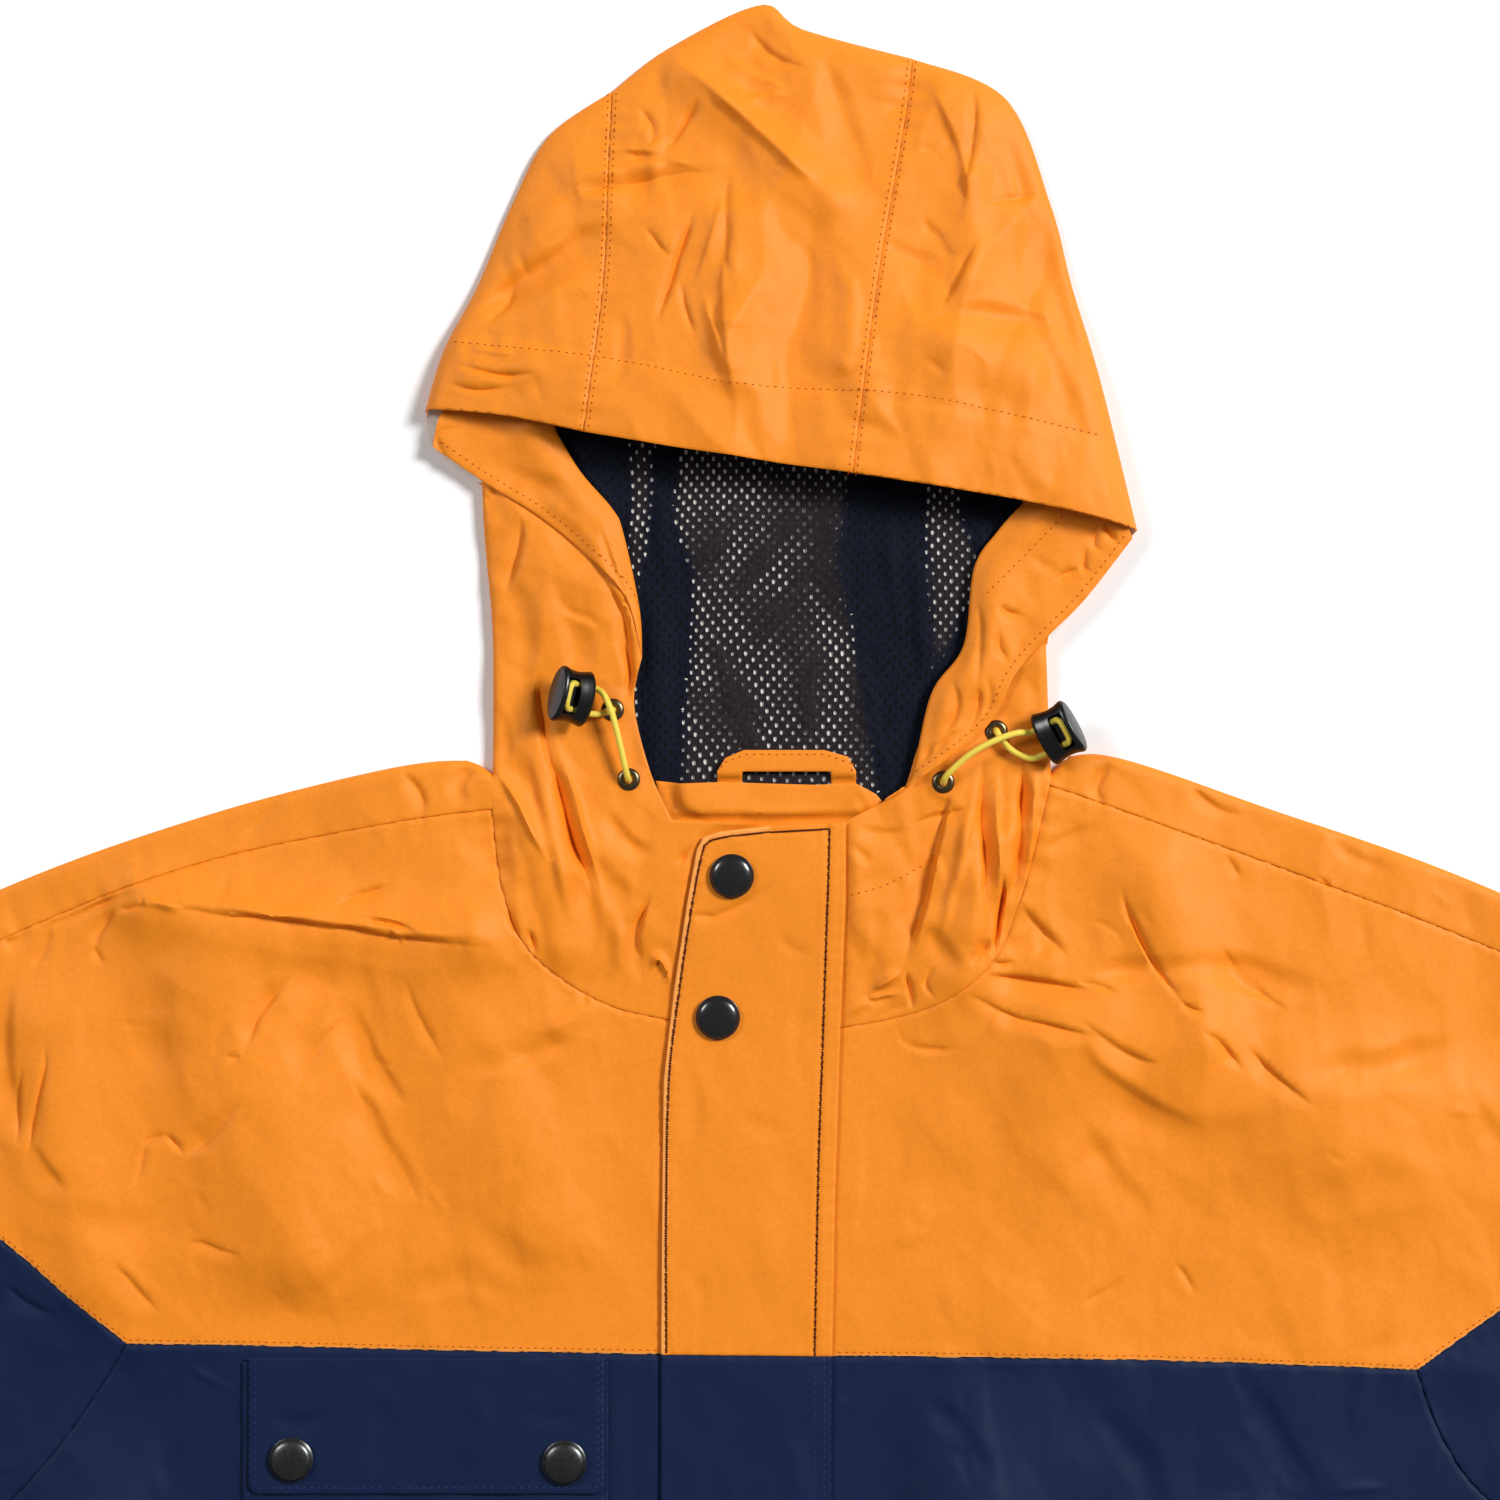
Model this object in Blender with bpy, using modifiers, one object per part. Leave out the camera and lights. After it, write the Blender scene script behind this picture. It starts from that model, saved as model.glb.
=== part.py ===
"""Hooded smock jacket laid flat, face up, on a surface.

Frame: +X to the wearer's left, +Y towards the top of the hood, +Z up, origin on the
surface under the middle of the jacket. "right" and "left" are the wearer's, so right
is at -X. Every table is in millimetres.

Each cloth piece is a wall with its own outline. Pieces sewn edge to edge share one
seam line and stop SEAM_GAP apart. A piece that wraps round a folded edge is an under
layer and an upper layer joined by a thin wall inside the fold.
"""
import math

import bmesh
import bpy
from mathutils import Matrix, Vector
from mathutils.geometry import delaunay_2d_cdt

MM = 0.001

# ---- driving sizes, mm -------------------------------------------------------------
CLOTH = 1.2            # cloth wall
MESH_WALL = 1.0        # mesh lining wall
SEAM_GAP = 0.3         # between pieces, side by side or stacked
SLEEVE_REACH = 780     # centre to the tip of each cuff
HEM_Y = -513           # middle of the hem
APEX_Y = 513           # point of the hood
OPENING_END_Y = -120   # foot of the front slit
FLAP_END_Y = -128      # foot of the storm flap
POCKET_FOOT_Y = -160   # foot of the chest pocket
CURVE_STEP = 20        # spacing of points on a curved outline
PANEL_STEP = 33        # spacing of points inside a panel with folds
HOOD_STEP = 15         # the same inside the hood and the facings
FOLD_INSET = 0.2       # from a folded edge in to the wall inside it
FOLD_BITE = 0.5        # how far that wall runs into the layers it joins
FOLD_TRIM = 1.5        # how far it stops short of the layers' ends

FRONT_BASE = CLOTH + SEAM_GAP          # underside of the front layer on the back layer
NECK_LIFT = 3.0                        # how far the mesh and neck band lift the front
NECK_RAMP = (125, 200)                 # from the foot of that lift to its top, along Y
LAYER = CLOTH + SEAM_GAP               # from one layer's underside to the next
FACING_RISE = 1.0                      # the facing's free edge stands off the neck
CROWN_EDGE = 3.0                       # underside of the crown at its folded edge
CROWN_TIP_LIFT = 6.0                   # extra height of that edge at the brim's tips
CROWN_DOME = 13.0                      # rise from the edge to the middle of the crown
CROWN_ROUND = 28.0                     # how far in from the edge the dome rises

SNAP_RADIUS = 8.25
SNAP_HEIGHT = 3.2
SNAP_SEAT = 0.1                        # extra room under a cap where the cloth curves
EYELET_FLANGE = 4.25                   # radii of the drawcord eyelets
EYELET_BARREL = 2.4
EYELET_BORE = 1.65
EYELET_FLANGE_THICKNESS = 0.8
EYELET_HOLE_DEPTH = 6.0
CORD_DIAMETER = 2.4
LOCK_LONG = 21.0                       # cord lock: across its two bores
LOCK_DEEP = 11.0                       # and the other way
LOCK_TALL = 12.0                       # along the cord
LOCK_BORE = 3.1                        # bore diameter
BORE_OFFSET = 4.8                      # bore to the lock's middle
LOCK_WAIST = 0.12                      # how much narrower the lock is at mid height
LOCK_RINGS = 3                         # rings of points between its ends

# ---- seams, edges and folded outlines: name -> points (x, y) -------------------------
LINES = {
    # hood, seen from the front
    "apex": [(-55, 481), (-34, 497), (0, APEX_Y), (16, 504), (57, 493)],
    "crown_right": [(-55, 481), (-79, 464), (-93, 438), (-106, 407), (-118, 384), (-125, 361)],
    "crown_left": [(57, 493), (92, 478), (109, 438), (117, 407), (127, 373), (141, 316)],
    "brim_right": [(-125, 361), (-95, 358), (-65, 351.5)],
    "brim_centre": [(-65, 351.5), (-27, 345), (34, 336)],
    "brim_left": [(34, 336), (98, 326), (141, 316)],
    "hood_seam_right": [(-55, 481), (-56, 457), (-58, 407), (-65, 351.5)],
    "hood_seam_left": [(57, 493), (54, 469), (43, 405), (34, 336)],
    "under_seam_right": [(-55, 481), (-60, 400), (-56, 300), (-45, 218)],
    "under_seam_left": [(57, 493), (62, 400), (60, 300), (52, 218)],
    "tip_right": [(-125, 361), (-122, 347), (-104, 333)],
    "tip_left": [(141, 316), (121, 290), (107, 273)],
    "neck_side_right": [(-104, 333), (-103, 312), (-100, 276), (-100, 225)],
    "neck_side_left": [(107, 273), (108, 248), (109, 225)],
    # roll line of the turned-out facings, then the face edge down to the collar top
    "roll_right": [(-76, 353), (-67, 338), (-55, 324), (-51, 315), (-45, 287), (-44, 269)],
    "roll_left": [(98, 326), (89, 316), (80, 302), (76, 273), (64, 255), (56, 223), (47, 215)],
    "face_right": [(-44, 269), (-47, 251), (-41, 226), (-33, 208)],
    "face_left": [(47, 215), (33, 208)],
    "facing_edge_right": [(-122, 347), (-103, 334), (-82, 321), (-65, 307), (-50, 291), (-44, 269)],
    "facing_edge_left": [(139, 313), (121, 290), (107, 276), (95, 262), (83, 241), (47, 215)],
    # neck seam, from the shoulder round to the middle of the front, and behind the neck
    "neck_top_right": [(-100, 225), (-100, 212)],
    "neck_top_left": [(109, 225), (108, 221)],
    "neck_seam_right": [(-100, 212), (-96, 182), (-85, 158), (-60, 140), (-34, 133), (0, 129)],
    "neck_seam_left": [(108, 221), (102, 195), (97, 178), (87, 155), (64, 138), (30, 130), (0, 129)],
    "back_neck_right": [(-100, 225), (-45, 218)],
    "back_neck_centre": [(-45, 218), (4, 216), (52, 218)],
    "back_neck_left": [(52, 218), (109, 225)],
    # shoulders: folded edge, and the seam that lies forward of it
    "shoulder_right": [(-100, 225), (-112, 230), (-144, 226), (-209, 209), (-284, 182), (-383, 135)],
    "shoulder_left": [(109, 225), (118, 232), (138, 230), (185, 214), (276, 181), (409, 117)],
    "front_shoulder_right": [(-100, 212), (-137, 207), (-209, 192), (-273, 168), (-368, 122.5)],
    "front_shoulder_left": [(108, 221), (134, 212), (206, 186), (276, 159), (395, 107)],
    # where the orange yoke meets the navy body and sleeves
    "yoke_right": [(-237, 12), (-117, 9), (0, 7)],
    "yoke_left": [(0, 7), (133, 6), (246, 2)],
    "slant_right": [(-237, 12), (-284, 51), (-368, 122.5)],
    "slant_top_right": [(-368, 122.5), (-383, 135)],
    "slant_left": [(246, 2), (276, 23), (395, 107)],
    "slant_top_left": [(395, 107), (409, 117)],
    "armhole_right": [(-237, 12), (-246, -3), (-266, -31), (-304, -72)],
    "armhole_left": [(246, 2), (255, -22), (270, -44), (308, -76)],
    # sleeves
    "sleeve_top_right": [(-383, 135), (-440, 101), (-600, 0), (-SLEEVE_REACH, -112)],
    "sleeve_top_left": [(409, 117), (460, 84), (600, -4), (SLEEVE_REACH, -118)],
    "cuff_right": [(-SLEEVE_REACH, -112), (-718, -215)],
    "cuff_left": [(SLEEVE_REACH, -118), (719, -222)],
    "sleeve_under_right": [(-718, -215), (-560, -160), (-400, -103), (-304, -72)],
    "sleeve_under_left": [(719, -222), (560, -166), (410, -108), (308, -76)],
    # body
    "side_right": [(-304, -72), (-307, -300), (-314, -508)],
    "side_left": [(308, -76), (310, -300), (314, -508)],
    "hem": [(-314, -508), (0, HEM_Y), (314, -508)],
}

# ---- largest folds of the front layer: a soft ridge from end to end -------------------
# columns: x0, y0, x1, y1, half_width, height
FRONT_FOLDS = [
    (-228, 176, -108, 164, 13, 6),     # across the right shoulder
    (-205, 150, -172, 40, 26, 6),      # right chest
    (-115, 140, -84, 60, 20, 4),
    (-268, 130, -250, 40, 18, 5),      # right sleeve head
    (148, 186, 166, 130, 15, 6),       # left shoulder
    (120, 128, 238, 78, 24, 6),        # left chest
    (205, 118, 262, 102, 15, 4),
    (92, 216, 74, 150, 10, 4),         # left of the neck
    (-86, 210, -76, 162, 9, 4),        # right of the neck
    (-330, 60, -430, -62, 26, 6),      # right sleeve
    (-500, 20, -540, -110, 24, 5),
    (-640, -70, -610, -150, 20, 4),
    (345, 46, 430, -66, 26, 6),        # left sleeve
    (500, 12, 560, -118, 24, 5),
    (650, -90, 640, -160, 20, 4),
    (-252, -60, -230, -330, 26, 5),    # body
    (-150, -230, -90, -440, 42, 7),
    (84, -60, 190, -260, 34, 6),
    (250, -110, 226, -360, 26, 6),
    (60, -300, 130, -470, 38, 7),
]
# columns: x0, y0, x1, y1, half_width, height
CROWN_FOLDS = [
    (-30, 490, 26, 438, 8, 4),
    (-100, 420, -60, 440, 9, 3),
    (-12, 430, -12, 376, 8, 3),
    (84, 470, 76, 410, 8, 3),
    (98, 372, 60, 388, 10, 3),
    (-112, 372, -84, 376, 6, 2),
]

# ---- small pieces ---------------------------------------------------------------------
# snap caps: name -> x, y, layers of cloth above the front layer's underside
SNAPS = {
    "snap_flap_upper": (-10.5, 187, 2),
    "snap_flap_lower": (-15.7, 134, 2),
    "snap_pocket_right": (-175, -31, 3),
    "snap_pocket_left": (-73, -32, 3),
}
EYELETS = {
    "eyelet_right_lower": (-49.0, 223.0),
    "eyelet_right_upper": (-55.0, 249.0),
    "eyelet_left_lower": (68.5, 222.0),
    "eyelet_left_upper": (88.3, 241.0),
}
# cord locks: name -> middle x, y, z, heading of the cord through it, and its tilt
LOCKS = {
    "cord_lock_right": {"middle": (-68.0, 253.5, 14.1), "heading": 167, "tilt": 35},
    "cord_lock_left": {"middle": (109.0, 239.5, 13.4), "heading": 28, "tilt": 22},
}

# ---- colours ---------------------------------------------------------------------------
ORANGE = ("coated orange cloth", (0.95, 0.32, 0.04), 0.6, 0.0)
NAVY = ("coated navy cloth", (0.02, 0.035, 0.11), 0.55, 0.0)
MESH_NAVY = ("navy mesh", (0.012, 0.014, 0.035), 0.8, 0.0)
SNAP_BLACK = ("black enamelled brass", (0.02, 0.02, 0.022), 0.3, 0.8)
EYELET_METAL = ("gunmetal", (0.12, 0.11, 0.11), 0.3, 1.0)
LOCK_BLACK = ("black moulded nylon", (0.01, 0.01, 0.012), 0.35, 0.0)
CORD_YELLOW = ("yellow elastic cord", (0.9, 0.68, 0.06), 0.6, 0.0)


# ---- drawing in plan --------------------------------------------------------------------
def curve_through(points, step=CURVE_STEP):
    """A smooth line through the points, with a point about every step."""
    if len(points) < 3:
        return list(points)
    ends = [points[0]] + list(points) + [points[-1]]
    line = []
    for a, b, c, d in zip(ends, ends[1:], ends[2:], ends[3:]):
        count = max(1, round(math.dist(b, c) / step))
        for k in range(count):
            t = k / count
            line.append(tuple(
                0.5 * (2 * q + (r - p) * t + (2 * p - 5 * q + 4 * r - s) * t ** 2
                       + (3 * q - p - 3 * r + s) * t ** 3)
                for p, q, r, s in zip(a, b, c, d)))
    return line + [tuple(points[-1])]


def ring(*parts):
    """A closed outline from line names ("-name" is run backwards) and loose points."""
    points = []
    for part in parts:
        if isinstance(part, str):
            run = curve_through(LINES[part.lstrip("-")])
            if part.startswith("-"):
                run.reverse()
        else:
            run = [part]
        for point in run:
            if not points or math.dist(point, points[-1]) > 0.05:
                points.append(point)
    if math.dist(points[0], points[-1]) <= 0.05:
        points.pop()
    return points


def area(outline):
    return sum(a[0] * b[1] - b[0] * a[1] for a, b in zip(outline, outline[1:] + outline[:1])) / 2


def inset(outline, amount):
    """The outline moved in by amount on every side."""
    if area(outline) < 0:
        outline = outline[::-1]
    moved = []
    for before, here, after in zip(outline[-1:] + outline[:-1], outline, outline[1:] + outline[:1]):
        into = (Vector(here) - Vector(before)).normalized()
        away = (Vector(after) - Vector(here)).normalized()
        normal = Vector((-into.y - away.y, into.x + away.x))
        reach = normal.dot(Vector((-into.y, into.x)))
        moved.append(tuple(Vector(here) + normal * (amount / max(reach, 0.3))))
    return moved


def inside(point, outline):
    x, y = point
    hit = False
    for (x0, y0), (x1, y1) in zip(outline, outline[1:] + outline[:1]):
        if (y0 > y) != (y1 > y) and x < (x1 - x0) * (y - y0) / (y1 - y0) + x0:
            hit = not hit
    return hit


def distance_to(point, line):
    """Shortest way from a point to a line of points."""
    p = Vector(point)
    best = math.inf
    for a, b in zip(line, line[1:]):
        a = Vector(a)
        run = Vector(b) - a
        t = min(1.0, max(0.0, (p - a).dot(run) / run.length_squared))
        best = min(best, (p - a - run * t).length)
    return best


def smoothstep(value, start, end):
    t = min(1.0, max(0.0, (value - start) / (end - start)))
    return t * t * (3 - 2 * t)


# ---- heights ------------------------------------------------------------------------------
def ridges(table, x, y):
    total = 0.0
    for x0, y0, x1, y1, half_width, height in table:
        away = distance_to((x, y), [(x0, y0), (x1, y1)])
        total += height * math.exp(-((away / half_width) ** 2))
    return total


def flat_zone(x, y):
    """0 where a flap or the pocket lies on the front, 1 well clear of them."""
    off_flap = smoothstep(abs(x), 42, 72)
    off_pocket = max(smoothstep(abs(x + 125), 80, 112), smoothstep(abs(y + 77), 92, 124))
    off_drawcord = max(smoothstep(math.dist((x, y), (-58, 240)), 34, 48)
                       * smoothstep(math.dist((x, y), (82, 236)), 24, 38), smoothstep(200 - y, 0, 20))
    return off_flap * off_pocket * off_drawcord


def front_low(x, y):
    """Underside of the front layer: body, yoke, sleeves and the front of the neck."""
    neck = smoothstep(y, *NECK_RAMP) * (1 - smoothstep(abs(x), 112, 190))
    return FRONT_BASE + NECK_LIFT * neck + ridges(FRONT_FOLDS, x, y) * flat_zone(x, y)


CROWN_EDGE_LINE = None    # filled in below, once the outline functions can be used


def crown_low(x, y):
    """Underside of the top of the hood."""
    edge = CROWN_EDGE + CROWN_TIP_LIFT * smoothstep(430 - y, 0, 70)
    away = distance_to((x, y), CROWN_EDGE_LINE)
    dome = CROWN_DOME * (1 - math.exp(-away / CROWN_ROUND))
    folds = ridges(CROWN_FOLDS, x, y) * smoothstep(away, 2, 16)
    return edge + dome + folds


def facing_low(x, y):
    """Underside of a turned-out facing: its free edge stands off the neck."""
    edge = min(distance_to((x, y), curve_through(LINES["facing_edge_right"])),
               distance_to((x, y), curve_through(LINES["facing_edge_left"])))
    return FRONT_BASE + NECK_LIFT + LAYER + FACING_RISE * (1 - smoothstep(edge, 0, 12))


def above(low, layers):
    """The height function lifted by a number of layers of cloth."""
    return lambda x, y: low(x, y) + LAYER * layers


def flat(height):
    return lambda x, y: height


# ---- making objects -------------------------------------------------------------------------
def collection(name):
    made = bpy.data.collections.new(name)
    bpy.context.scene.collection.children.link(made)
    return made


def material(finish):
    name, colour, roughness, metallic = finish
    made = bpy.data.materials.get(name)
    if made is None:
        made = bpy.data.materials.new(name)
        made.use_nodes = True
        shader = made.node_tree.nodes["Principled BSDF"]
        shader.inputs["Base Color"].default_value = (*colour, 1)
        shader.inputs["Roughness"].default_value = roughness
        shader.inputs["Metallic"].default_value = metallic
    return made


def to_object(name, bm, finish, home):
    mesh = bpy.data.meshes.new(name)
    bm.to_mesh(mesh)
    bm.free()
    made = bpy.data.objects.new(name, mesh)
    if finish is not None:
        mesh.materials.append(material(finish))
    home.objects.link(made)
    return made


def slab(outline, low, thickness, step=None):
    """A wall of cloth over an outline, its underside at low(x, y), its edges upright."""
    border = inset(outline, SEAM_GAP / 2)
    points = [Vector(p) for p in border]
    if step is not None:
        points += grid_inside(border, step)
    flat_points, _, faces, *_ = delaunay_2d_cdt(points, [], [list(range(len(border)))], 1, 1e-4)
    bm = bmesh.new()
    verts = [bm.verts.new((p.x, p.y, low(p.x, p.y))) for p in flat_points]
    for face in faces:
        bm.faces.new([verts[i] for i in face])
    top = bmesh.ops.extrude_face_region(bm, geom=bm.faces[:])
    for vert in (g for g in top["geom"] if isinstance(g, bmesh.types.BMVert)):
        rise = thickness(vert.co.x, vert.co.y) if callable(thickness) else thickness
        vert.co.z += rise
    bmesh.ops.recalc_face_normals(bm, faces=bm.faces[:])
    bmesh.ops.scale(bm, vec=(MM, MM, MM), verts=bm.verts[:])
    return bm


def grid_inside(border, step):
    """Staggered points inside the border, none close to it."""
    xs = [p[0] for p in border]
    ys = [p[1] for p in border]
    closed = border + border[:1]
    row_step = step * math.sqrt(3) / 2
    points = []
    for row in range(int((max(ys) - min(ys)) / row_step) + 1):
        y = min(ys) + row * row_step
        shift = step / 2 if row % 2 else 0.0
        for column in range(int((max(xs) - min(xs)) / step) + 1):
            point = (min(xs) + shift + column * step, y)
            if inside(point, border) and distance_to(point, closed) > 0.45 * step:
                points.append(Vector(point))
    return points


def fold_wall(line_names, low, high):
    """The wall inside a folded edge, from the under layer up into the upper one.

    low and high are the under layer's underside and the upper layer's top."""
    path = []
    for name in line_names:
        path += [p for p in curve_through(LINES[name]) if not path or math.dist(p, path[-1]) > 0.05]
    for end, beside in ((0, 1), (-1, -2)):
        run = Vector(path[beside]) - Vector(path[end])
        path[end] = tuple(Vector(path[end]) + run.normalized() * FOLD_TRIM)
    sides = [[], []]
    for index, point in enumerate(path):
        before = Vector(path[max(index - 1, 0)])
        after = Vector(path[min(index + 1, len(path) - 1)])
        along = (after - before).normalized()
        inwards = Vector((along.y, -along.x))
        if not inside_jacket(Vector(point) + inwards * 3):
            inwards = -inwards
        for side, depth in zip(sides, (FOLD_INSET, FOLD_INSET + CLOTH + SEAM_GAP)):
            side.append(tuple(Vector(point) + inwards * depth))
    outline = sides[0] + sides[1][::-1]
    start = low + FOLD_BITE
    return slab(outline, flat(start), lambda x, y: high(x, y) - FOLD_BITE - start)


def inside_jacket(point):
    return any(inside(point, outline) for outline in JACKET_OUTLINES)


def joined(name, finish, parts, home, spare):
    """One piece from layers and fold walls that run into each other."""
    base = to_object(name, parts[0], finish, home)
    for index, part in enumerate(parts[1:]):
        tool = to_object(f"{name}_join_{index}", part, None, spare)
        tool.hide_render = True
        tool.display_type = "WIRE"
        union = base.modifiers.new(f"join {index}", "BOOLEAN")
        union.operation = "UNION"
        union.solver = "EXACT"
        union.object = tool
    return base


def cut(base, tool):
    hole = base.modifiers.new(f"hole {tool.name}", "BOOLEAN")
    hole.operation = "DIFFERENCE"
    hole.solver = "EXACT"
    hole.object = tool


def cloth(name, outline, low, finish, home, step=None, thickness=CLOTH):
    return to_object(name, slab(outline, low, thickness, step), finish, home)


# ---- whole outlines, for the inward side of a fold --------------------------------------------
HOOD_OUTLINE = ring("apex", "crown_left", "tip_left", "neck_side_left", "-back_neck_left",
                    "-back_neck_centre", "-back_neck_right", "-neck_side_right", "-tip_right",
                    "-crown_right")
YOKE_OUTLINE = ring("yoke_right", "yoke_left", "slant_left", "slant_top_left", "-shoulder_left",
                    "-back_neck_left", "-back_neck_centre", "-back_neck_right", "shoulder_right",
                    "-slant_top_right", "-slant_right")
SLEEVES = {
    side: ring(f"slant_{side}", f"slant_top_{side}", f"sleeve_top_{side}", f"cuff_{side}",
               f"sleeve_under_{side}", f"-armhole_{side}")
    for side in ("right", "left")
}
JACKET_OUTLINES = [HOOD_OUTLINE, YOKE_OUTLINE, SLEEVES["right"], SLEEVES["left"]]
CROWN_EDGE_LINE = ring("-crown_right", "apex", "crown_left")


# ---- the pieces ---------------------------------------------------------------------------------
def make_body(home, spare):
    hem_and_sides = ["armhole_right", "side_right", "hem", "-side_left", "-armhole_left"]
    cloth("back_body", ring(*hem_and_sides, "-yoke_left", "-yoke_right"), flat(0), NAVY, home)
    slit = [(0.3, 7), (0.3, OPENING_END_Y), (-0.3, OPENING_END_Y), (-0.3, 7)]
    outline = [p for p in ring(*hem_and_sides, "-yoke_left", *slit, "-yoke_right") if p != (0, 7)]
    cloth("front_body", outline, front_low, NAVY, home, PANEL_STEP)

    wraps = []
    for side in ("right", "left"):
        strip = ring(f"shoulder_{side}", f"-slant_top_{side}", f"-front_shoulder_{side}",
                     f"-neck_top_{side}")
        wraps.append(slab(strip, front_low, CLOTH))
        wraps.append(fold_wall([f"shoulder_{side}"], 0, lambda x, y: front_low(x, y) + CLOTH))
    joined("back_yoke", ORANGE, [slab(YOKE_OUTLINE, flat(0), CLOTH)] + wraps, home, spare)

    for side, yoke in (("right", "yoke_right"), ("left", "-yoke_left")):
        outline = ring(f"front_shoulder_{side}", f"-slant_{side}", yoke, (0, 129),
                       f"-neck_seam_{side}")
        cloth(f"front_yoke_{side}", outline, front_low, ORANGE, home, PANEL_STEP)


def make_sleeves(home, spare):
    for side, outline in SLEEVES.items():
        parts = [slab(outline, flat(0), CLOTH), slab(outline, front_low, CLOTH, PANEL_STEP)]
        for edge in ("sleeve_top", "sleeve_under"):
            parts.append(fold_wall([f"{edge}_{side}"], 0, lambda x, y: front_low(x, y) + CLOTH))
        joined(f"sleeve_{side}", NAVY, parts, home, spare)


def crown_top(x, y):
    return crown_low(x, y) + CLOTH


def front_top(x, y):
    return front_low(x, y) + CLOTH


def make_hood(home, spare):
    centre_under = ring("apex", "under_seam_left", "-back_neck_centre", "-under_seam_right")
    centre_over = ring("apex", "hood_seam_left", "-brim_centre", "-hood_seam_right")
    joined("hood_centre", ORANGE,
           [slab(centre_under, flat(0), CLOTH), slab(centre_over, crown_low, CLOTH, HOOD_STEP),
            fold_wall(["apex"], 0, crown_top)], home, spare)
    # how the back neck and brim lines run on each side, and the corners hidden under the brim
    sides = {
        "right": ("back_neck_right", "brim_right", [(-100, 364), (-80, 364)]),
        "left": ("-back_neck_left", "-brim_left", [(112, 300), (118, 340), (104, 340)]),
    }
    for side, (back_neck, brim, tucked) in sides.items():
        under = ring(f"crown_{side}", f"tip_{side}", f"neck_side_{side}", back_neck,
                     f"-under_seam_{side}")
        crown = ring(f"crown_{side}", brim, f"-hood_seam_{side}")
        neck = ring(f"-neck_side_{side}", *tucked, f"roll_{side}", f"face_{side}", (0, 206),
                    (0, 129), f"-neck_seam_{side}", f"-neck_top_{side}")
        panel = joined(f"hood_side_{side}", ORANGE,
                       [slab(under, flat(0), CLOTH), slab(crown, crown_low, CLOTH, HOOD_STEP),
                        slab(neck, front_low, CLOTH, HOOD_STEP),
                        fold_wall([f"crown_{side}"], 0, crown_top),
                        fold_wall([f"neck_side_{side}"], 0, front_top)], home, spare)
        for name, (x, y) in EYELETS.items():
            if side in name:
                bpy.ops.mesh.primitive_cylinder_add(
                    vertices=12, radius=(EYELET_BARREL + SEAM_GAP) * MM, depth=EYELET_HOLE_DEPTH * MM,
                    location=(x * MM, y * MM, (front_low(x, y) + CLOTH / 2) * MM))
                tool = spare_tool(bpy.context.object, f"{name}_hole", spare)
                cut(panel, tool)


def spare_tool(tool, name, spare):
    tool.name = name
    tool.hide_render = True
    tool.display_type = "WIRE"
    move_to(tool, spare)
    return tool


def make_facings(home):
    behind = {
        "right": [(-90, 370), (-114, 370), (-120, 357)],
        "left": [(104, 345), (124, 348), (132, 330)],
    }
    for side in ("right", "left"):
        if side == "right":
            outline = ring("facing_edge_right", "-roll_right", *behind[side])
        else:
            outline = ring("facing_edge_left", "-roll_left", *behind[side])
        cloth(f"hood_facing_{side}", outline, facing_low, ORANGE, home, HOOD_STEP)


def make_lining(home):
    lining = [(-84, 370), (-84, 330), (-64, 270), (-62, 212), (62, 212), (80, 235), (96, 290),
              (110, 330), (110, 370)]
    cloth("hood_mesh", lining, flat(CLOTH + SEAM_GAP), MESH_NAVY, home, thickness=MESH_WALL)
    band_low = CLOTH + SEAM_GAP + MESH_WALL + SEAM_GAP
    band = [(-36, 198), (46, 198), (46, 221), (35, 222), (-15, 222), (-39, 221)]
    cloth("neck_band", band, flat(band_low), ORANGE, home)
    loop = [(-16, 216), (-7, 216), (-6.5, 226), (26.5, 226), (27, 216), (36, 216), (36, 226),
            (33, 231.5), (24, 234), (-6, 234), (-13, 231), (-16, 226)]
    cloth("hang_loop", loop, flat(band_low + LAYER), ORANGE, home, thickness=1.5)


def make_flap_and_pocket(home):
    upper = [(-37, 7.8), (27, 7.2), (28, 65), (30, 128), (32, 178), (32, 207), (3, 205.5), (-15, 203.5),
             (-21, 201.5), (-23.5, 197), (-27, 178), (-32, 145), (-36, 110)]
    lower = [(-37, 7.8), (-37, FLAP_END_Y), (26, FLAP_END_Y), (27, 7.2)]
    cloth("storm_flap_upper", upper, above(front_low, 1), ORANGE, home, HOOD_STEP)
    cloth("storm_flap_lower", lower, above(front_low, 1), NAVY, home)
    patch = rounded_foot(-193.5, -56.7, 5, POCKET_FOOT_Y, 14)
    cloth("pocket_patch", patch, above(front_low, 1), NAVY, home)
    flap = rounded_foot(-191, -58, 7, -44, 4)
    cloth("pocket_flap", flap, above(front_low, 2), NAVY, home)


def rounded_foot(left, right, top, foot, radius):
    """A rectangle whose two lower corners are rounded."""
    points = [(left, top)]
    for corner_x, start in ((left + radius, 180), (right - radius, 270)):
        for step in range(5):
            angle = math.radians(start + 22.5 * step)
            points.append((corner_x + radius * math.cos(angle), foot + radius + radius * math.sin(angle)))
    return points + [(right, top)]


def move_to(thing, home):
    for old in list(thing.users_collection):
        old.objects.unlink(thing)
    home.objects.link(thing)


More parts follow.
